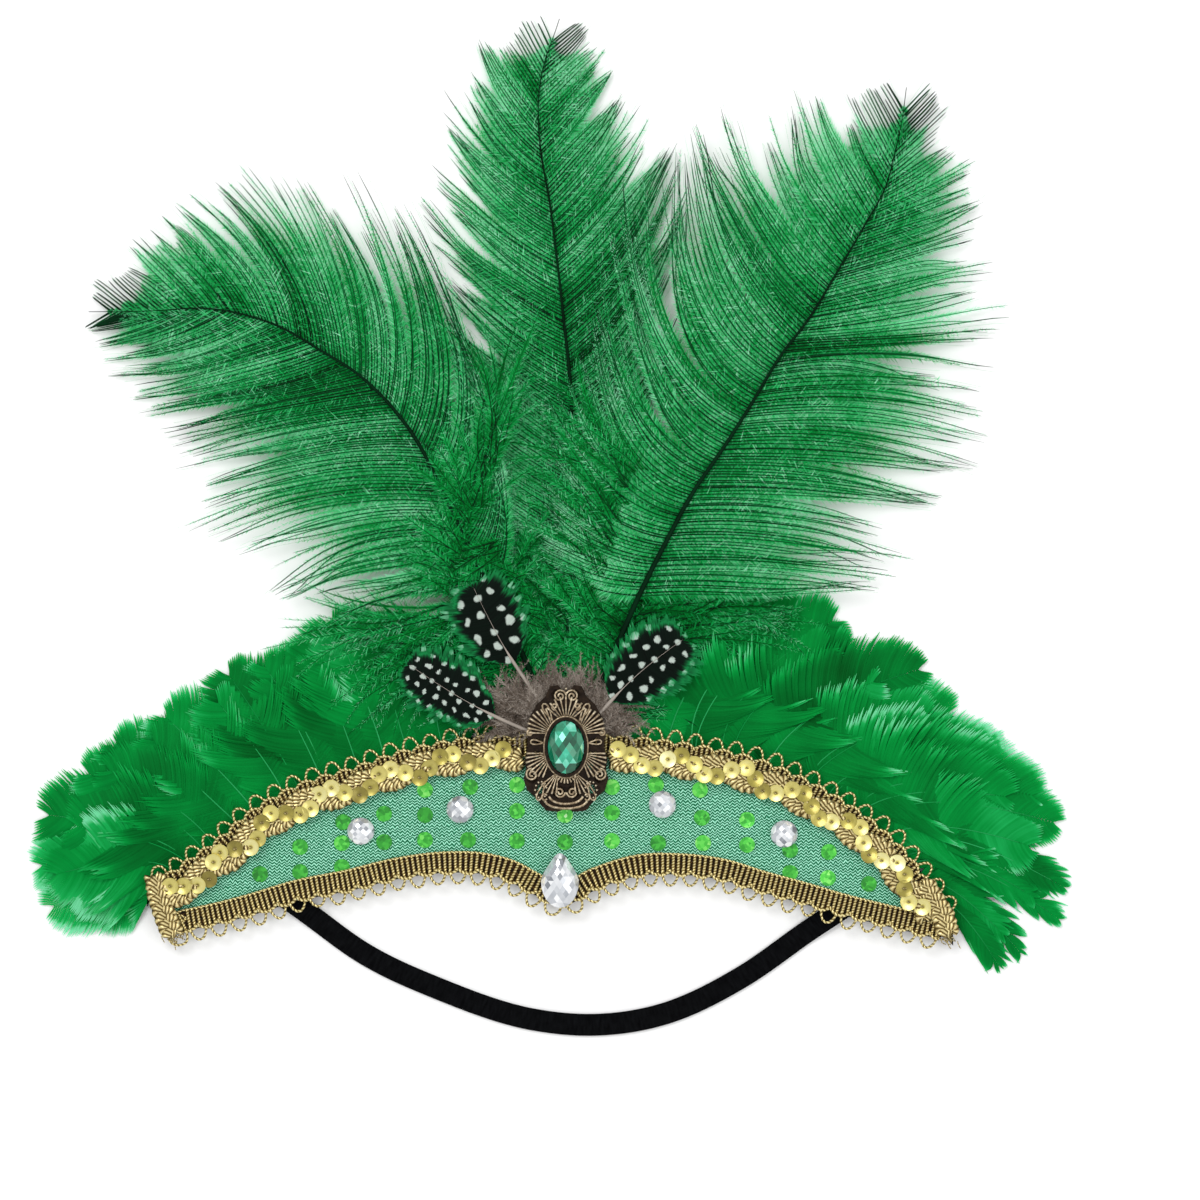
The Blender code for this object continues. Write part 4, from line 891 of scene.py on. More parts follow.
def web(
    spine, half, dice, count, columns, sweep, ahead, shade, tilt, camber, split, mean, rim_light_and_dye, rim=0.72
):
    """A feather's vane: at t along the spine a barb reaches half(t) out and sweep·half(t) forward, and
    at the tip they turn ahead and close it. Each barb is a ribbon that laps over the next. Barbs of
    one lock draw together and part from the next, which splits the edge. The rim term pales the barbs
    from the rim on: on goose feathers that is painted light, the white floor seen through the thin
    fringe; on guinea feathers it is the rim's green dye. The barbs are also painted paler over the
    last third towards the feather's tip, so that the root stays darker as painted shade where the
    feathers lie over each other. The lay is the distance along and across the feather."""
    k = len(spine)
    run = run_along(spine)
    square = raised(left_of(unit(np.gradient(spine[:, :2], axis=0))), 0.0)
    a = np.linspace(0, 1, columns)
    b = a[None, :, None]
    most = half.max()
    parts = []
    for sign in (1, -1):
        t = np.linspace(0, 1, count) ** 0.95
        spot = t * (k - 1)
        i = np.clip(spot.astype(int), 0, k - 2)
        f = (spot - i)[:, None]
        here = spine[i] * (1 - f) + spine[i + 1] * f
        way = unit(spine[i + 1] - spine[i])
        out = (square[i] * (1 - f) + square[i + 1] * f) * sign
        lock, locked = locks(dice, count, mean)
        longer = 1 + np.clip(dice.normal(0, split * 0.4, locked), -0.15, 0.08)[lock]
        longer = longer + dice.normal(0, 0.045, count)
        width = np.interp(t, np.linspace(0, 1, len(half)), half) * longer
        forward = width * sweep + most * ahead * smooth((t - 0.62) / 0.38) * longer
        offset = out * width[:, None] + way * forward[:, None]
        bend = out * width[:, None] * 0.62 + way * forward[:, None] * 0.36
        members = np.maximum(np.bincount(lock), 1)
        centre = np.stack([np.bincount(lock, (here + offset)[:, c]) / members for c in range(3)], 1)[lock]
        pull = (centre - here - offset) * split * dice.uniform(0.5, 1.8, locked)[lock][:, None]
        path = bent(here, bend, offset, pull, b)
        far = np.linalg.norm(path - here[:, None], axis=2)
        path[..., 2] += tilt * sign * far / most - camber * (far / most) ** 2
        path[..., 2] = np.maximum(path[..., 2], VANE_FLOOR)
        wide = run[-1] / count * 1.15 * (1 + 0.30 * a) * (1 - 0.92 * smooth((a - 0.80) / 0.16))
        tone = shade + dice.normal(0, 0.035, count)[:, None] + 0.05 * a
        # rim term: painted light on goose rims, green dye on guinea rims; the tip-ward lift leaves painted
        # shade at the overlapped root
        tone = tone + rim_light_and_dye * smooth((a - rim) / (1 - rim)) + 0.10 * smooth((t - 0.7) / 0.3)[:, None]
        roll = dice.normal(0.08, 0.08, (count, 1)) + 0 * a
        points, faces, _, tones, slot = ribbons(path, wide + 0 * tone, roll, np.clip(tone, 0, 1), 0)
        rel = path - here[:, None]
        distance = np.interp(t, np.linspace(0, 1, k), run)[:, None] + (rel * way[:, None]).sum(2)
        lay = np.stack((distance, sign * (rel * out[:, None]).sum(2)), -1)
        parts.append((points, faces, np.repeat(lay, 2, axis=1).reshape(-1, 2), tones, slot))
    return parts


def goose(side, seed):
    """A fan of goose feathers in two layers. Each grows from the band square to its edge and bends to
    its tip: (1-t)²·root + 2t(1-t)·bend + t²·tip. It arches over the braid and comes down to the
    floor. The lowest on the right are narrow and their barbs hang in loose strings."""
    table = np.array(GOOSE[side]) / 1000
    right = side == "right"
    numbered = np.column_stack((np.arange(len(table)), table))
    dice = np.random.default_rng(seed)
    last = len(table) - 1
    lower, upper = np.arange(0.0, last + 0.1, 1.0), np.arange(0.5, last - 0.6, 1.25)
    parts = []
    for k, share, layer in [(k, 1.0, 0.0) for k in lower] + [(k, 0.84, 1.0) for k in upper]:
        k = np.clip(k + dice.normal(0, 0.15), 0, last)
        _, along, dx, dy = read(numbered, k)
        edge = np.array(edges(along)[:2])
        way = unit(np.subtract(edges(along + 0.004), edges(along - 0.004))[:2])
        out = left_of(way)
        root = edge - out * ROOT_DEPTH
        tip = edge + np.array((dx, dy)) * GOOSE_REACH * share * dice.uniform(0.88, 0.97)
        reach = np.linalg.norm(tip - root)
        t = np.linspace(0, 1, 30)
        b = t[:, None]
        sideways = dice.normal(-0.14, 0.07) if right else dice.normal(0.02, 0.05)
        bend = root + out * reach * 0.34 + way * reach * sideways
        flat = (1 - b) ** 2 * root + 2 * b * (1 - b) * bend + b * b * tip
        climb = smooth((t * reach - ROOT_DEPTH - 2 * LOOP_REACH) / 0.02)
        rise = ROOT_HEIGHT + (GOOSE_ARCH - ROOT_HEIGHT) * climb
        fall = smooth((t - 0.4) / 0.6)
        height = rise * (1 - fall) + (0.0009 + 0.0011 * layer) * fall + 0.0005 * layer * np.sin(np.pi * t)
        spine = raised(flat, height)
        stringy = right and k > last - 3.6
        loose, sweep, mean, slim = (0.75, 2.1, 9, 0.42) if stringy else (0.06, 0.80, 6, 1.0)
        wide = dice.uniform(0.0150, 0.0190) * min(1.0, 0.5 + reach / 0.10) * slim
        profile = wide * np.clip(1 - np.clip((t - 0.42) / 0.59, 0, 1) ** 2.4, 0, 1) ** 0.60
        profile *= smooth(t / 0.24 + 0.12)
        pale = 0.08 if right else 0.24 if k < 2 else 0.0
        shade = 0.36 + dice.normal(0, 0.07) + 0.04 * layer + pale
        lean = 0.0006 * dice.choice((-1, 1))
        # rim paling is painted light, the white floor seen through the thin fringe, strongest on the lower,
        # outer layer
        rim_light_and_dye = (0.48 if right else 0.42) - 0.24 * layer
        parts += web(spine, profile, dice, 100, 8, sweep, 0.16, shade, lean, 0.0008, loose, mean, rim_light_and_dye, 0.62)
        quill = spine[None, ::2] + 0.00006 * UP
        parts.append(tubes(quill, 0.00026 * (1 - t[::2]) ** 0.8 + 0.00006, 5, dice.random() * 0.5, 1))
    obj = made("goose_fan_" + side, parts, [goose_vane, goose_quill])
    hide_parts("goose_feathers_" + side)


plume("centre", 11, 0.88, ((0.4, 0.8), (0.4, 0.8)), 0.72, 0.28)
plume("left", 12, 0.84, ((0.5, 0.9), (0.4, 0.9)), 0.66)
plume("right", 13, 0.84, ((-0.8, 0.6), (0.35, 1.3)), 0.72)
foot_fluff(14)
goose("left", 21)
goose("right", 22)

brooch_middle = on_band(*BROOCH_PLACE)


def guinea(side, seed, leave, spread):
    """A guinea feather, round-ended, with its quill held under the brooch. It climbs from there where
    it leaves the brooch, and its spots grow as the spread of its lay shrinks. A looser, greener web
    lies under the spotted one and shows round its rim."""
    sx, sy, tx, ty, start, half, high = GUINEA[side]
    dice = np.random.default_rng(seed)
    seat = brooch_middle + np.array((sx, sy)) * GUINEA_LENGTH
    tip = brooch_middle + np.array((tx, ty)) * GUINEA_LENGTH
    u = np.linspace(0, 1, 40)
    aside = left_of(unit(tip - seat)) * 0.0016
    flat = seat + (tip - seat) * u[:, None] + aside * np.sin(np.pi * u)[:, None]
    low = BROOCH_RISE - 0.00075
    whole = raised(flat, low + (high * BROOCH_RISE - low) * smooth((u - leave) / 0.28))
    spine = whole[u >= start]
    t = np.linspace(0, 1, len(spine))
    profile = half * GUINEA_LENGTH * 1.05 * np.clip(1 - np.abs(2 * t - 1) ** 2.6, 0, 1) ** 0.5
    under = spine - 0.0003 * UP
    parts = web(spine, profile, dice, 72, 12, 0.34, 0.14, 0.16, 0.0001, 0.0005, 0.34, 3, 0.90, 0.56)
    parts += web(under, profile * 1.14, dice, 44, 9, 0.34, 0.16, 0.62, 0.0001, 0.0006, 0.45, 3, 0.30)
    parts = [(points, faces, lay * spread, tone, slot) for points, faces, lay, tone, slot in parts]
    thick = 0.00044 * (1 - smooth((u - start) / 0.16)) + 0.00012 * (1 - u) + 0.00004
    parts.append(tubes(whole[None] + 0.0002 * UP, thick, 6, 0.95, 1))
    obj = made("guinea_spotted_" + side, parts, [guinea_vane, down_grey])
    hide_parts("guinea_feather_" + side)


guinea("top", 31, 0.30, 0.52)
guinea("left", 32, 0.12, 0.80)
guinea("right", 33, 0.12, 0.64)


def down(seed):
    """Grey down at the foot of the guinea feathers: fine barbs that fan out from under the brooch,
    each curling its own way."""
    dice = np.random.default_rng(seed)
    n = 600
    a = np.linspace(0, 1, 10)
    turn = np.radians(dice.uniform(8, 164, n))
    foot = brooch_middle + np.stack((dice.uniform(-0.014, 0.014, n), dice.uniform(0.003, 0.013, n)), 1)
    foot[:, 0] += 0.005 * np.cos(turn)
    reach = (0.011 + 0.008 * smooth(0.5 - 0.6 * np.cos(turn))) * dice.uniform(0.5, 1.15, n)
    flat = curling(foot, turn, dice.normal(0, 0.5, n), reach, a)
    height = 0.0062 + 0.0017 * np.sin(np.pi * a * 0.75) * dice.uniform(0.2, 1.2, (n, 1))
    shade = np.clip(dice.normal(0.5, 0.16, n), 0, 1)
    parts = fluffy(raised(flat, height), dice, shade, 30, 0.0040, 0.97, 0.00014, 0.0012)
    obj = made("guinea_down", parts, [down_grey, down_grey])


down(41)


# Braids and cords
TWISTED = {"plies": 2, "pitch": 0.0026, "groove": 0.22}
STRAND = {"flat": 0.36, "plies": 5, "pitch": 1e3, "groove": 0.22}  # grooves run straight along it


def gimp(name, side, first, last, seed):
    """Gimp braid. A brown thread ground carries ribs of gold cord side by side, cut to scallops; a
    cord follows the scallops: out = edge + depth·sin(pi·share) of each; and between them picot loops
    of the same cord stand past the edge as open arches."""
    track = edge_track(side, first, last, GIMP_INSET)
    length = track[2][-1]
    count = int(length / LOOP_PITCH)
    pitch = length / count
    dice = np.random.default_rng(seed)

    def scallop(run):
        """How far the ground's outer edge stands out at a length along the braid."""
        share = (run / pitch + 0.5) % 1.0
        return -0.0012 + 0.0017 * np.sin(np.pi * share) ** 0.7

    run = np.linspace(0, length, count * 10 + 1)[:, None]
    depth = np.linspace(0, 1, 4)
    out = -GIMP_WIDTH + depth * (GIMP_WIDTH + scallop(run))
    high = GIMP_BOTTOM + 0.0003 + 0.0002 * np.sin(np.pi * depth)
    ground = carried(track, np.repeat(run, 4, 1), out, high)
    parts = [surface(ground if side > 0 else ground[:, ::-1], 0.5, 2)]
    ribs = ((np.arange(count * 4) + 0.5) / 4 * pitch)[:, None]
    q = np.linspace(0, 1, 7)
    out = -GIMP_WIDTH + 0.0004 + q * (GIMP_WIDTH + scallop(ribs) - 0.0003)
    lean = dice.normal(0, 0.00008, (len(ribs), 1)) * q
    rib = carried(track, ribs + lean, out, GIMP_BOTTOM + 0.00035 + 0.00045 * np.sin(np.pi * q) ** 0.5)
    parts.append(tubes(rib, RIB_RADIUS, 6, dice.random(len(ribs)), 1, flat=0.9))
    run = np.linspace(0.0, length, count * 14 + 1)
    path = carried(track, run, scallop(run) + 0.0002, GIMP_BOTTOM + 0.0007)
    parts.append(tubes(path[None], SCALLOP_RADIUS, 7, 0.5, 0, **TWISTED))
    path = carried(track, run, -GIMP_WIDTH + 0.0003, GIMP_BOTTOM + 0.0006)
    parts.append(tubes(path[None], INNER_CORD_RADIUS, 6, 0.5, 0, **TWISTED))
    turn = np.linspace(-0.16, 1.16, 19) * np.pi
    reach = LOOP_REACH * (1 + dice.normal(0, 0.05, (count, 1)))
    runs = (np.arange(count) + 0.5)[:, None] * pitch - np.cos(turn) * pitch * 0.40
    out = -0.0010 + (reach + 0.0015) * np.sin(turn)
    path = carried(track, np.clip(runs, 0, length), out, GIMP_BOTTOM + 0.0005 + 0.0003 * np.cos(turn))
    parts.append(tubes(path, LOOP_RADIUS, 6, dice.random(count), 0, **TWISTED))
    obj = made(name + "_threads", parts, [gimp_cord, gimp_rib, gimp_ground])
    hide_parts(name)


gimp("lower_gimp_braid", -1, -0.485, 0.470, 51)
gimp("upper_gimp_braid", 1, -0.508, 0.484, 52)


def plaited(turn):
    """Three strands, each a third of a turn behind the last: how far round their swing they are, and
    their height as they pass over and under."""
    turn = turn + 2 * np.pi * np.arange(3)[:, None] / 3
    return turn, (CORD_BOTTOM + CORD_TOP) / 2 + PLAIT_RISE * np.sin(2 * turn)


def sequin_cord(name, first, last, seed):
    """Plaited cord: three flat strands, each swinging from side to side, out = swing·sin(turn). Cup
    sequins follow a slower zigzag on it, each lapping over the one before, with a knot in its hole."""
    track = edge_track(1, first, last, CORD_INSET)
    length = track[2][-1]
    dice = np.random.default_rng(seed)
    run = np.linspace(0.0004, length - 0.0004, int(length / 0.0006))
    turn, height = plaited(2 * np.pi * run / PLAIT_PITCH)
    out = PLAIT_SWING * np.sin(turn) - CORD_WAVE * np.sin(2 * np.pi * run / SWING_PERIOD)
    path = carried(track, np.broadcast_to(run, out.shape), out, height)
    parts = [tubes(path, STRAND_RADIUS, 12, 0.5, 0, **STRAND)]
    count = int((length - SEQUIN_WIDTH) / SEQUIN_SPACING) + 1

    def zigzag(run):
        """Where a sequin at a length along the cord lies."""
        return carried(track, run, SEQUIN_SWING * np.sin(2 * np.pi * run / SWING_PERIOD + 0.6), CORD_TOP)

    where = SEQUIN_WIDTH / 2 + np.arange(count) * SEQUIN_SPACING
    middle = zigzag(where) + 0.00035 * UP
    middle[:, :2] += dice.normal(0, 0.0002, (count, 2))
    lean = unit((zigzag(where + 0.001) - zigzag(where))[:, :2])
    rings = np.array((0.10, 0.34, 0.72, 1.0)) * SEQUIN_WIDTH / 2
    cup = np.array((0.0, 0.0, 0.00022, 0.00046))[:, None]
    tip = 0.17 + dice.normal(0, 0.05, count)
    slope = lean * tip[:, None] + dice.normal(0, 0.07, (count, 2))
    # painted reflection: a random brightness for each sequin; within it darkest round the hole and brightest
    # near the rim
    shade = np.clip(dice.normal(0.60, 0.24, count), 0.2, 1)[:, None, None]
    shade = shade * np.array((0.15, 0.9, 1, 0.86))[:, None]
    parts.append(discs(middle, rings, cup, slope, 0.0, shade, 1, False))
    knots = middle[:, None] + np.array(((-0.0006, 0, 0.0002), (0.0, 0, 0.00035), (0.0006, 0, 0.0002)))
    parts.append(tubes(knots, KNOT_RADIUS, 5, 0.5, 0))
    obj = made(name + "_sequins", parts, [plait_thread, gold_sequin])
    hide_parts(name)


sequin_cord("sequin_cord_left", -0.500, -0.047, 61)
sequin_cord("sequin_cord_right", 0.063, 0.480, 62)


def end_binding(seed):
    """The cord turned down over both ends of the band, and the loose gold threads where it is cut."""
    dice = np.random.default_rng(seed)
    parts = []
    for end in BAND_ENDS:
        end = np.array(end)
        q = np.linspace(0, 1, 40)
        line = np.stack([np.interp(q, np.linspace(0, 1, 4), end[:, i]) for i in (0, 1)], 1)
        way = unit(np.gradient(line, axis=0))
        turn, high = plaited(2 * np.pi * q * 2.4)
        path = raised(line + 0.0024 * np.sin(turn)[..., None] * left_of(way), high + 0.0001)
        parts.append(tubes(path, END_STRAND_RADIUS, 12, 0.5, 0, **STRAND))
        n = 26
        heading = np.arctan2(way[-1, 1], way[-1, 0]) + dice.normal(0, 0.7, n)
        step = np.linspace(0, 1, 6)
        curl = dice.normal(0, 0.8, n)
        foot = end[-1] + dice.normal(0, 0.0013, (n, 2))
        flat = curling(foot, heading, curl, dice.uniform(0.0012, 0.0036, n), step)
        drop = 0.0062 - 0.0024 * step**1.5 * dice.uniform(0.2, 1.0, (n, 1))
        parts.append(tubes(raised(flat, drop), LOOSE_THREAD_RADIUS, 5, dice.random(n), 0))
    obj = made("band_end_threads", parts, [plait_thread])


end_binding(63)


# Band
def band_grid(inset, stations, rows):
    """Points between the band's lower and upper edges, both moved inward."""
    tracks = [edge_track(side, BAND[0][0], BAND[-1][0], inset) for side in (-1, 1)]
    low, high = [carried(track, np.linspace(0, track[2][-1], stations), 0.0, 0.0) for track in tracks]
    v = np.linspace(0, 1, rows)[None, :, None]
    return low[:, None] * (1 - v) + high[:, None] * v


def fabric():
    """The fabric face: stretched over the felt, drawn down at its sewn edges and faintly quilted."""
    points = band_grid(0.0006, 220, 34)
    v = np.linspace(0, 1, 34)[None]
    x, y = points[..., 0], points[..., 1]
    swell = 0.00022 * np.sin(np.pi * v) ** 0.4 * (0.6 + 0.4 * np.sin(x * 210) * np.sin(y * 260 + 1))
    points[..., 2] = PANEL_TOP - 0.00012 + swell
    obj = made("mint_fabric", [surface(points, 0.5, 0)], [mint_weave])
    wall = obj.modifiers.new("wall", "SOLIDIFY")
    wall.thickness = 0.0009
    wall.offset = -1.0
    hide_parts("fabric_panel")
    side_a = points[1:, 1:, :2] - points[:-1, :-1, :2]
    side_b = points[:-1, 1:, :2] - points[1:, :-1, :2]
    area = float(np.abs(side_a[..., 0] * side_b[..., 1] - side_a[..., 1] * side_b[..., 0]).sum() / 2)
    return obj, area


panel, panel_area = fabric()


def flat_sequins(seed):
    """Flat sequins sewn on the fabric: faintly buckled discs, 5.2 mm across."""
    dice = np.random.default_rng(seed)
    spots = raised(np.array(FLAT_SEQUINS) * MM, PANEL_TOP + 0.00030)
    slope = dice.normal(0, 0.03, (len(spots), 2))
    buckle = dice.normal(0, 12.0, (len(spots), 1, 1))
    # painted reflection: a random brightness for each sequin
    shade = dice.uniform(0.25, 0.7, len(spots))[:, None, None]
    rings = (0.0001, 0.0013, 0.0026)
    obj = made("fabric_sequins", [discs(spots, rings, 0.0, slope, buckle, shade, 0, True)], [green_sequin])


flat_sequins(71)


def felt():
    """The felt board: a section with rounded edges and a ledge for the feather roots, carried from
    one end of the band to the other and closed at both. The section's points are distances from the
    lower edge, or else from the upper one, and heights."""
    low, high = np.moveaxis(band_grid(0.0, 150, 2), 1, 0)
    height = np.linalg.norm((high - low)[:, :2], axis=1)
    way = (high - low) / (height[:, None] + 1e-9)
    r = 0.0007
    from_low = (
        (r, FELT_THICK), (0.0002, FELT_THICK - 0.0002), (0, FELT_THICK - r), (0, r), (0.0002, 0.0002), (r, 0)
    )
    from_high = (
        (-r, 0), (-0.0002, 0.0002), (0, LEDGE_THICK - 0.0002), (-0.0002, LEDGE_THICK),
        (-LEDGE_DEPTH, LEDGE_THICK), (-LEDGE_DEPTH, FELT_THICK - 0.0003), (-LEDGE_DEPTH - 0.0004, FELT_THICK),
    )
    section = np.array(from_low[3:] + from_high + from_low[:3])
    out = section[:, 0] + height[:, None] * np.array([0] * 3 + [1] * 7 + [0] * 3)
    points = low[:, None] + way[:, None] * out[..., None]
    points[..., 2] = section[:, 1]
    index = np.arange(out.size).reshape(out.shape)
    faces = [joined(index[:-1], index[1:])[:, [0, 3, 2, 1]], np.stack((index[0, ::-1], index[-1]))]
    lay = points[..., :2].reshape(-1, 2)
    obj = made("felt_board", [(points, faces, lay, 0.5, 0)], [black_felt], False)
    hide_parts("felt_backing")
    return obj


board = felt()


def strap():
    """Knitted elastic: a flat section 7 mm wide with eight lengthwise ribs on each face, carried
    along the strap's middle line. Inside the band it lies in the felt, outside it on the floor."""
    first, last = STRAP[0][0], STRAP[-1][0]
    seats = [on_band(a, h)[1] for a, h in zip((first, last), STRAP_SEATS)]
    along = np.linspace(first, last, 120)
    drop = read(STRAP, along)[:, 1]
    y = seats[0] + (seats[1] - seats[0]) * (along - first) / (last - first) - drop * STRAP_DROP
    line = np.stack((along * BAND_LENGTH, y), 1)
    out = left_of(unit(np.gradient(line, axis=0)))
    down = smooth((edges(along)[2] - y - 0.0012) / 0.009)
    height = (LEDGE_THICK + 0.0003 + STRAP_THICK / 2) * (1 - down) + STRAP_THICK / 2 * down
    top = np.linspace(0.5, -0.5, 33)
    rib = STRAP_THICK / 2 * (0.80 + 0.20 * np.abs(np.cos(np.pi * 8 * (top + 0.5))))
    rib[[0, -1]] *= 0.4
    side = np.concatenate((top, top[::-1])) * STRAP_WIDTH
    rib = np.concatenate((rib, -rib))
    points = raised(line[:, None] + out[:, None] * side[:, None], height[:, None] + rib)
    index = np.arange(points[..., 0].size).reshape(points.shape[:2])
    faces = [joined(index[:-1], index[1:]), np.stack((index[0], index[-1, ::-1]))]
    lay = np.stack(np.broadcast_arrays(run_along(line)[:, None], side), -1).reshape(-1, 2)
    obj = made("elastic_band", [(points, faces, lay, 0.5, 0)], [black_elastic])
    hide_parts("elastic_strap")


strap()


# Brooch and stones
def stone(seed, name, node, place, bottom, thick, width, height, narrow, cells, material):
    """A chequer-cut stone: points of a diagonal lattice lifted onto a dome, z = rise·(1 - r²), so that
    each diamond is one flat facet, with a steep girdle round it and a flat back. It narrows towards
    its upper end."""
    dice = np.random.default_rng(seed)
    i, j = np.meshgrid(np.arange(-cells, cells + 1), np.arange(-cells, cells + 1))
    u, v = ((i + j) / cells / 1.25).ravel(), ((i - j) / cells / 1.25).ravel()
    keep = u * u + v * v < 0.80
    u, v = u[keep], v[keep]
    crown = np.column_stack((u, v, thick - thick * 0.55 * (u * u + v * v)))
    rim = raised(towards(2 * np.pi * np.arange(24) / 24), thick * 0.34)
    cloud = np.concatenate((crown, rim, rim * np.array((0.97, 0.97, 0.0))))
    cloud[:, 0] *= width / 2 * (1 - narrow * smooth((cloud[:, 1] + 0.1) / 1.1))
    cloud[:, 1] *= height / 2
    cloud += np.array((place[0], place[1], bottom + STONE_GAP))
    bm = bmesh.new()
    for spot in cloud:
        bm.verts.new(spot)
    bmesh.ops.convex_hull(bm, input=bm.verts)
    bmesh.ops.dissolve_limit(bm, angle_limit=0.03, verts=bm.verts, edges=bm.edges)
    bmesh.ops.delete(bm, geom=[p for p in bm.verts if not p.link_faces], context="VERTS")
    bmesh.ops.recalc_face_normals(bm, faces=bm.faces)
    mesh = bpy.data.meshes.new(name)
    bm.to_mesh(mesh)
    bm.free()
    # painted reflection: each facet gets a random tone of the foil
    tone = np.clip(dice.normal(0.55, 0.27, len(mesh.polygons)), 0, 1)
    corners = [face.loop_total for face in mesh.polygons]
    values = mesh.attributes.new("tone", "FLOAT", "CORNER")
    values.data.foreach_set("value", np.repeat(tone, corners).astype(np.float32))
    mesh.materials.append(material)
    obj = placed(name, mesh)
    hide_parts(node)
    return obj


green_cut = (BROOCH_TOP, 0.0052, 0.0117, 0.0172, 0.0, 4, green_stone)
drop_cut = (GIMP_TOP, 0.0048, 0.0124, 0.0178, 0.42, 5, clear_stone)
round_cut = (PANEL_TOP, 0.0034, 0.0088, 0.0088, 0.0, 4, clear_stone)
stone(81, "green_chequer_stone", "brooch_stone", brooch_middle, *green_cut)
stone(82, "drop_chequer_stone", "drop_stone", on_band(*DROP_PLACE), *drop_cut)
for number, spot in enumerate(ROUND_STONES, 1):
    names = "round_chequer_stone_%d" % number, "round_stone_%d" % number
    stone(82 + number, *names, on_band(*spot), *round_cut)


def petals(x, y, heading, length, wide):
    """Closed teardrop loops: from a foot, along a heading, length·(1-cos)/2 out and wide·sin across."""
    turn = 2 * np.pi * np.arange(14) / 14
    out = length * (1 - np.cos(turn)) / 2
    aside = 0.77 * wide * np.sin(turn) * (1 - np.cos(turn)) / 2
    ahead = towards(heading)
    flat = np.stack((x, y), -1) + out[..., None] * ahead + aside[..., None] * left_of(ahead)
    return raised(flat, 0.3 + 0.4 * np.sin(turn / 2) ** 2)


def spirals(x, y, radius, start, turns, hand):
    """Scrolls: the radius shrinks evenly as the turn goes on."""
    q = np.linspace(0, 1, 22)
    turn = 2 * np.pi * (start + hand * turns * q)
    flat = np.stack((x, y), -1) + (radius * (1 - 0.82 * q))[..., None] * towards(turn)
    return raised(flat, 0.4 + 0.3 * q)


def fan(sign, x, y, middle, spread, count, length):
    """Bars that fan out from a foot; the outer ones are shorter. A sign of -1 mirrors them."""
    share = np.linspace(-1, 1, count)
    heading = mirrored(sign, middle + spread * share)
    return [(sign * x, y, *bar) for bar in zip(heading, length * (1 - 0.10 * share**2))]


def mirrored(sign, degrees):
    """A heading in radians, mirrored left to right if the sign is -1."""
    return np.pi * (sign < 0) + sign * np.radians(degrees)


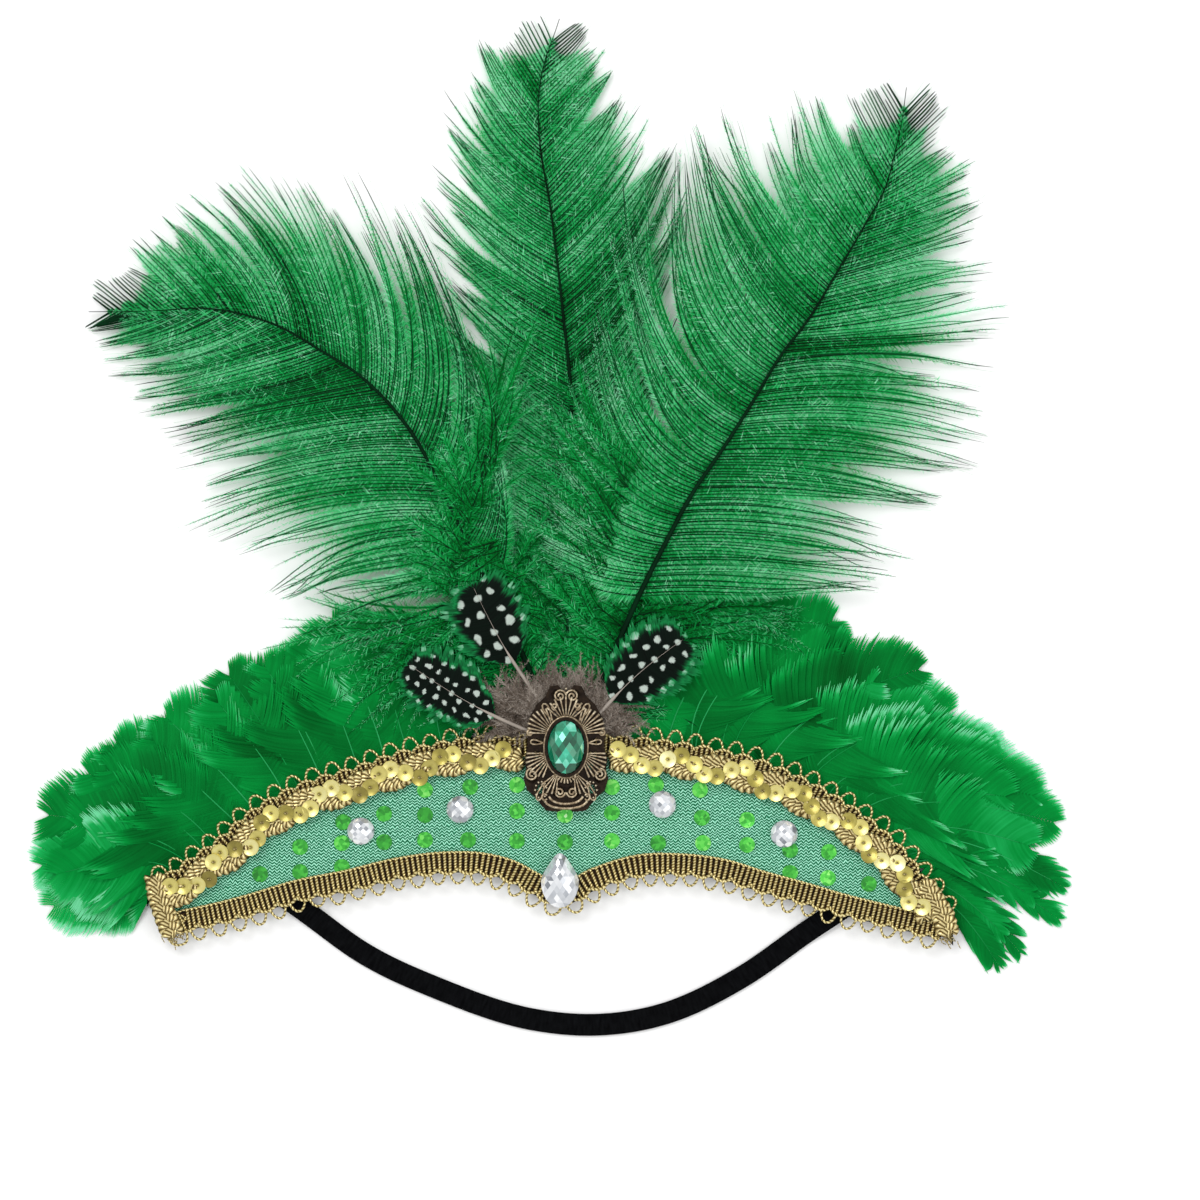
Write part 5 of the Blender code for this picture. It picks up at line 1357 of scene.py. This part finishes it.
def scrollwork():
    """The brooch's relief in wire: fans of bars above, beside and below the stone, teardrop loops and
    scrolls at the top, the sides and the foot, beaded rings, and a double crescent foot. It is laid
    out in millimetres from the brooch's middle."""
    bars = fan(1, 0, 7.6, 90, 50, 9, 9.0) + fan(1, 0, -7.2, -90, 52, 8, 4.6)
    drops, scrolls, ends, seats = [], [], [], [(0.0, 19.0), (0.0, 17.0)]
    q = np.linspace(-1, 1, 25)
    for sign in (1, -1):
        for row in SIDE_FANS:
            bars += fan(sign, *row)
        drops += [(sign * x, y, mirrored(sign, t), long, wide) for x, y, t, long, wide in SIDE_DROPS]
        ends.append(np.stack((sign * (6.9 + 0.8 * np.cos(q * 2.6)), -16.2 + 1.0 * np.sin(q * 2.6)), -1))
        turn = 2 * np.pi * np.arange(11) / 11
        seats += list(zip(sign * (8.1 + 1.9 * np.cos(turn)), -13.9 + 2.7 * np.sin(turn)))
    for x, y, radius, start, turns, hand in SCROLLS:
        scrolls += [(x, y, radius, start, turns, hand), (-x, y, radius, 0.5 - start, turns, -hand)]
    x, y, heading, length = np.array(bars).T[..., None]
    share = np.linspace(0, 1, 7)
    flat = np.stack((x, y), -1) + (length * (0.15 + 0.85 * share))[..., None] * towards(heading)
    ribs = raised(flat, 0.4 + 0.4 * np.sin(np.pi * share / 2))
    foot = np.stack((7.0 * np.sin(q * 1.35), -16.4 - 3.5 * np.cos(q * 1.35) ** 0.8), -1)
    feet = raised(np.stack((foot, foot * np.array((0.80, 1.0)) + np.array((0, 1.5)))), 0.5)
    rim = raised(towards(2 * np.pi * np.arange(64) / 64) * np.array((7.05, 9.9)), 0.9)[None]
    cords = (
        (petals(*np.array(drops).T[..., None]), 0.00032, 6, {"closed": True}),
        (ribs, 0.00018 + 0.00022 * share**1.5, 6, {}),
        (spirals(*np.array(scrolls).T[..., None]), 0.00038, 6, {}),
        (feet, 0.00048, 6, {}),
        (raised(np.array(ends), 0.5), 0.00038, 6, {}),
        (rim, 0.00048, 7, {"closed": True, "plies": 3, "pitch": 0.0016, "groove": 0.3}),
    )
    middle = np.array((*brooch_middle, BROOCH_TOP))
    parts = [tubes(path * MM + middle, thick, sides, 0.5, 0, **more) for path, thick, sides, more in cords]
    bead = np.array(((1, 0, 0), (0, 1, 0), (-1, 0, 0), (0, -1, 0), (0, 0, 1), (0, 0, -1))) * BEAD_RADIUS
    points = (raised(np.array(seats), 0.5) * MM + middle)[:, None] + bead
    sides = ((0, 1, 4), (1, 2, 4), (2, 3, 4), (3, 0, 4), (1, 0, 5), (2, 1, 5), (3, 2, 5), (0, 3, 5))
    faces = (np.arange(len(seats))[:, None, None] * 6 + np.array(sides)).reshape(-1, 3)
    parts.append((points, [faces], None, 0.5, 0))
    obj = made("brooch_scrollwork", parts, [bronze])


scrollwork()
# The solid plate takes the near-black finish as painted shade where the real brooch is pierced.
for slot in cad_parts["brooch_filigree"].material_slots:
    slot.material = bronze_patina_gap_shade

# Stage: a plain white floor under soft light.
paper = finish_of("white_paper", {"Base Color": linear("#F4F4F4"), "Roughness": 0.9})[0]
ground = bpy.data.meshes.new("floor")
ground.from_pydata([(x, y, -0.0002) for x, y in ((-2, -2), (2, -2), (2, 2), (-2, 2))], [], [(0, 1, 2, 3)])
ground.materials.append(paper)
floor = bpy.data.objects.new("floor", ground)
bpy.context.collection.objects.link(floor)
world = bpy.data.worlds.new("studio")
world.use_nodes = True
world.node_tree.nodes["Background"].inputs[0].default_value = (1.0, 1.0, 1.0, 1.0)
world.node_tree.nodes["Background"].inputs[1].default_value = 0.80
bpy.context.scene.world = world
for name, spot, size, power in (("key", (-0.7, 0.9, 1.7), 0.9, 16.0), ("fill", (0.9, -0.3, 1.5), 1.2, 6.0)):
    lamp = bpy.data.lights.new(name, "AREA")
    lamp.size = size
    lamp.energy = power
    light = bpy.data.objects.new(name, lamp)
    light.location = spot
    aim = unit(np.array(spot) - np.array((0.013, 0.07, 0.0)))
    light.rotation_euler = (np.arccos(aim[2]), 0.0, np.arctan2(aim[0], -aim[1]))
    bpy.context.collection.objects.link(light)
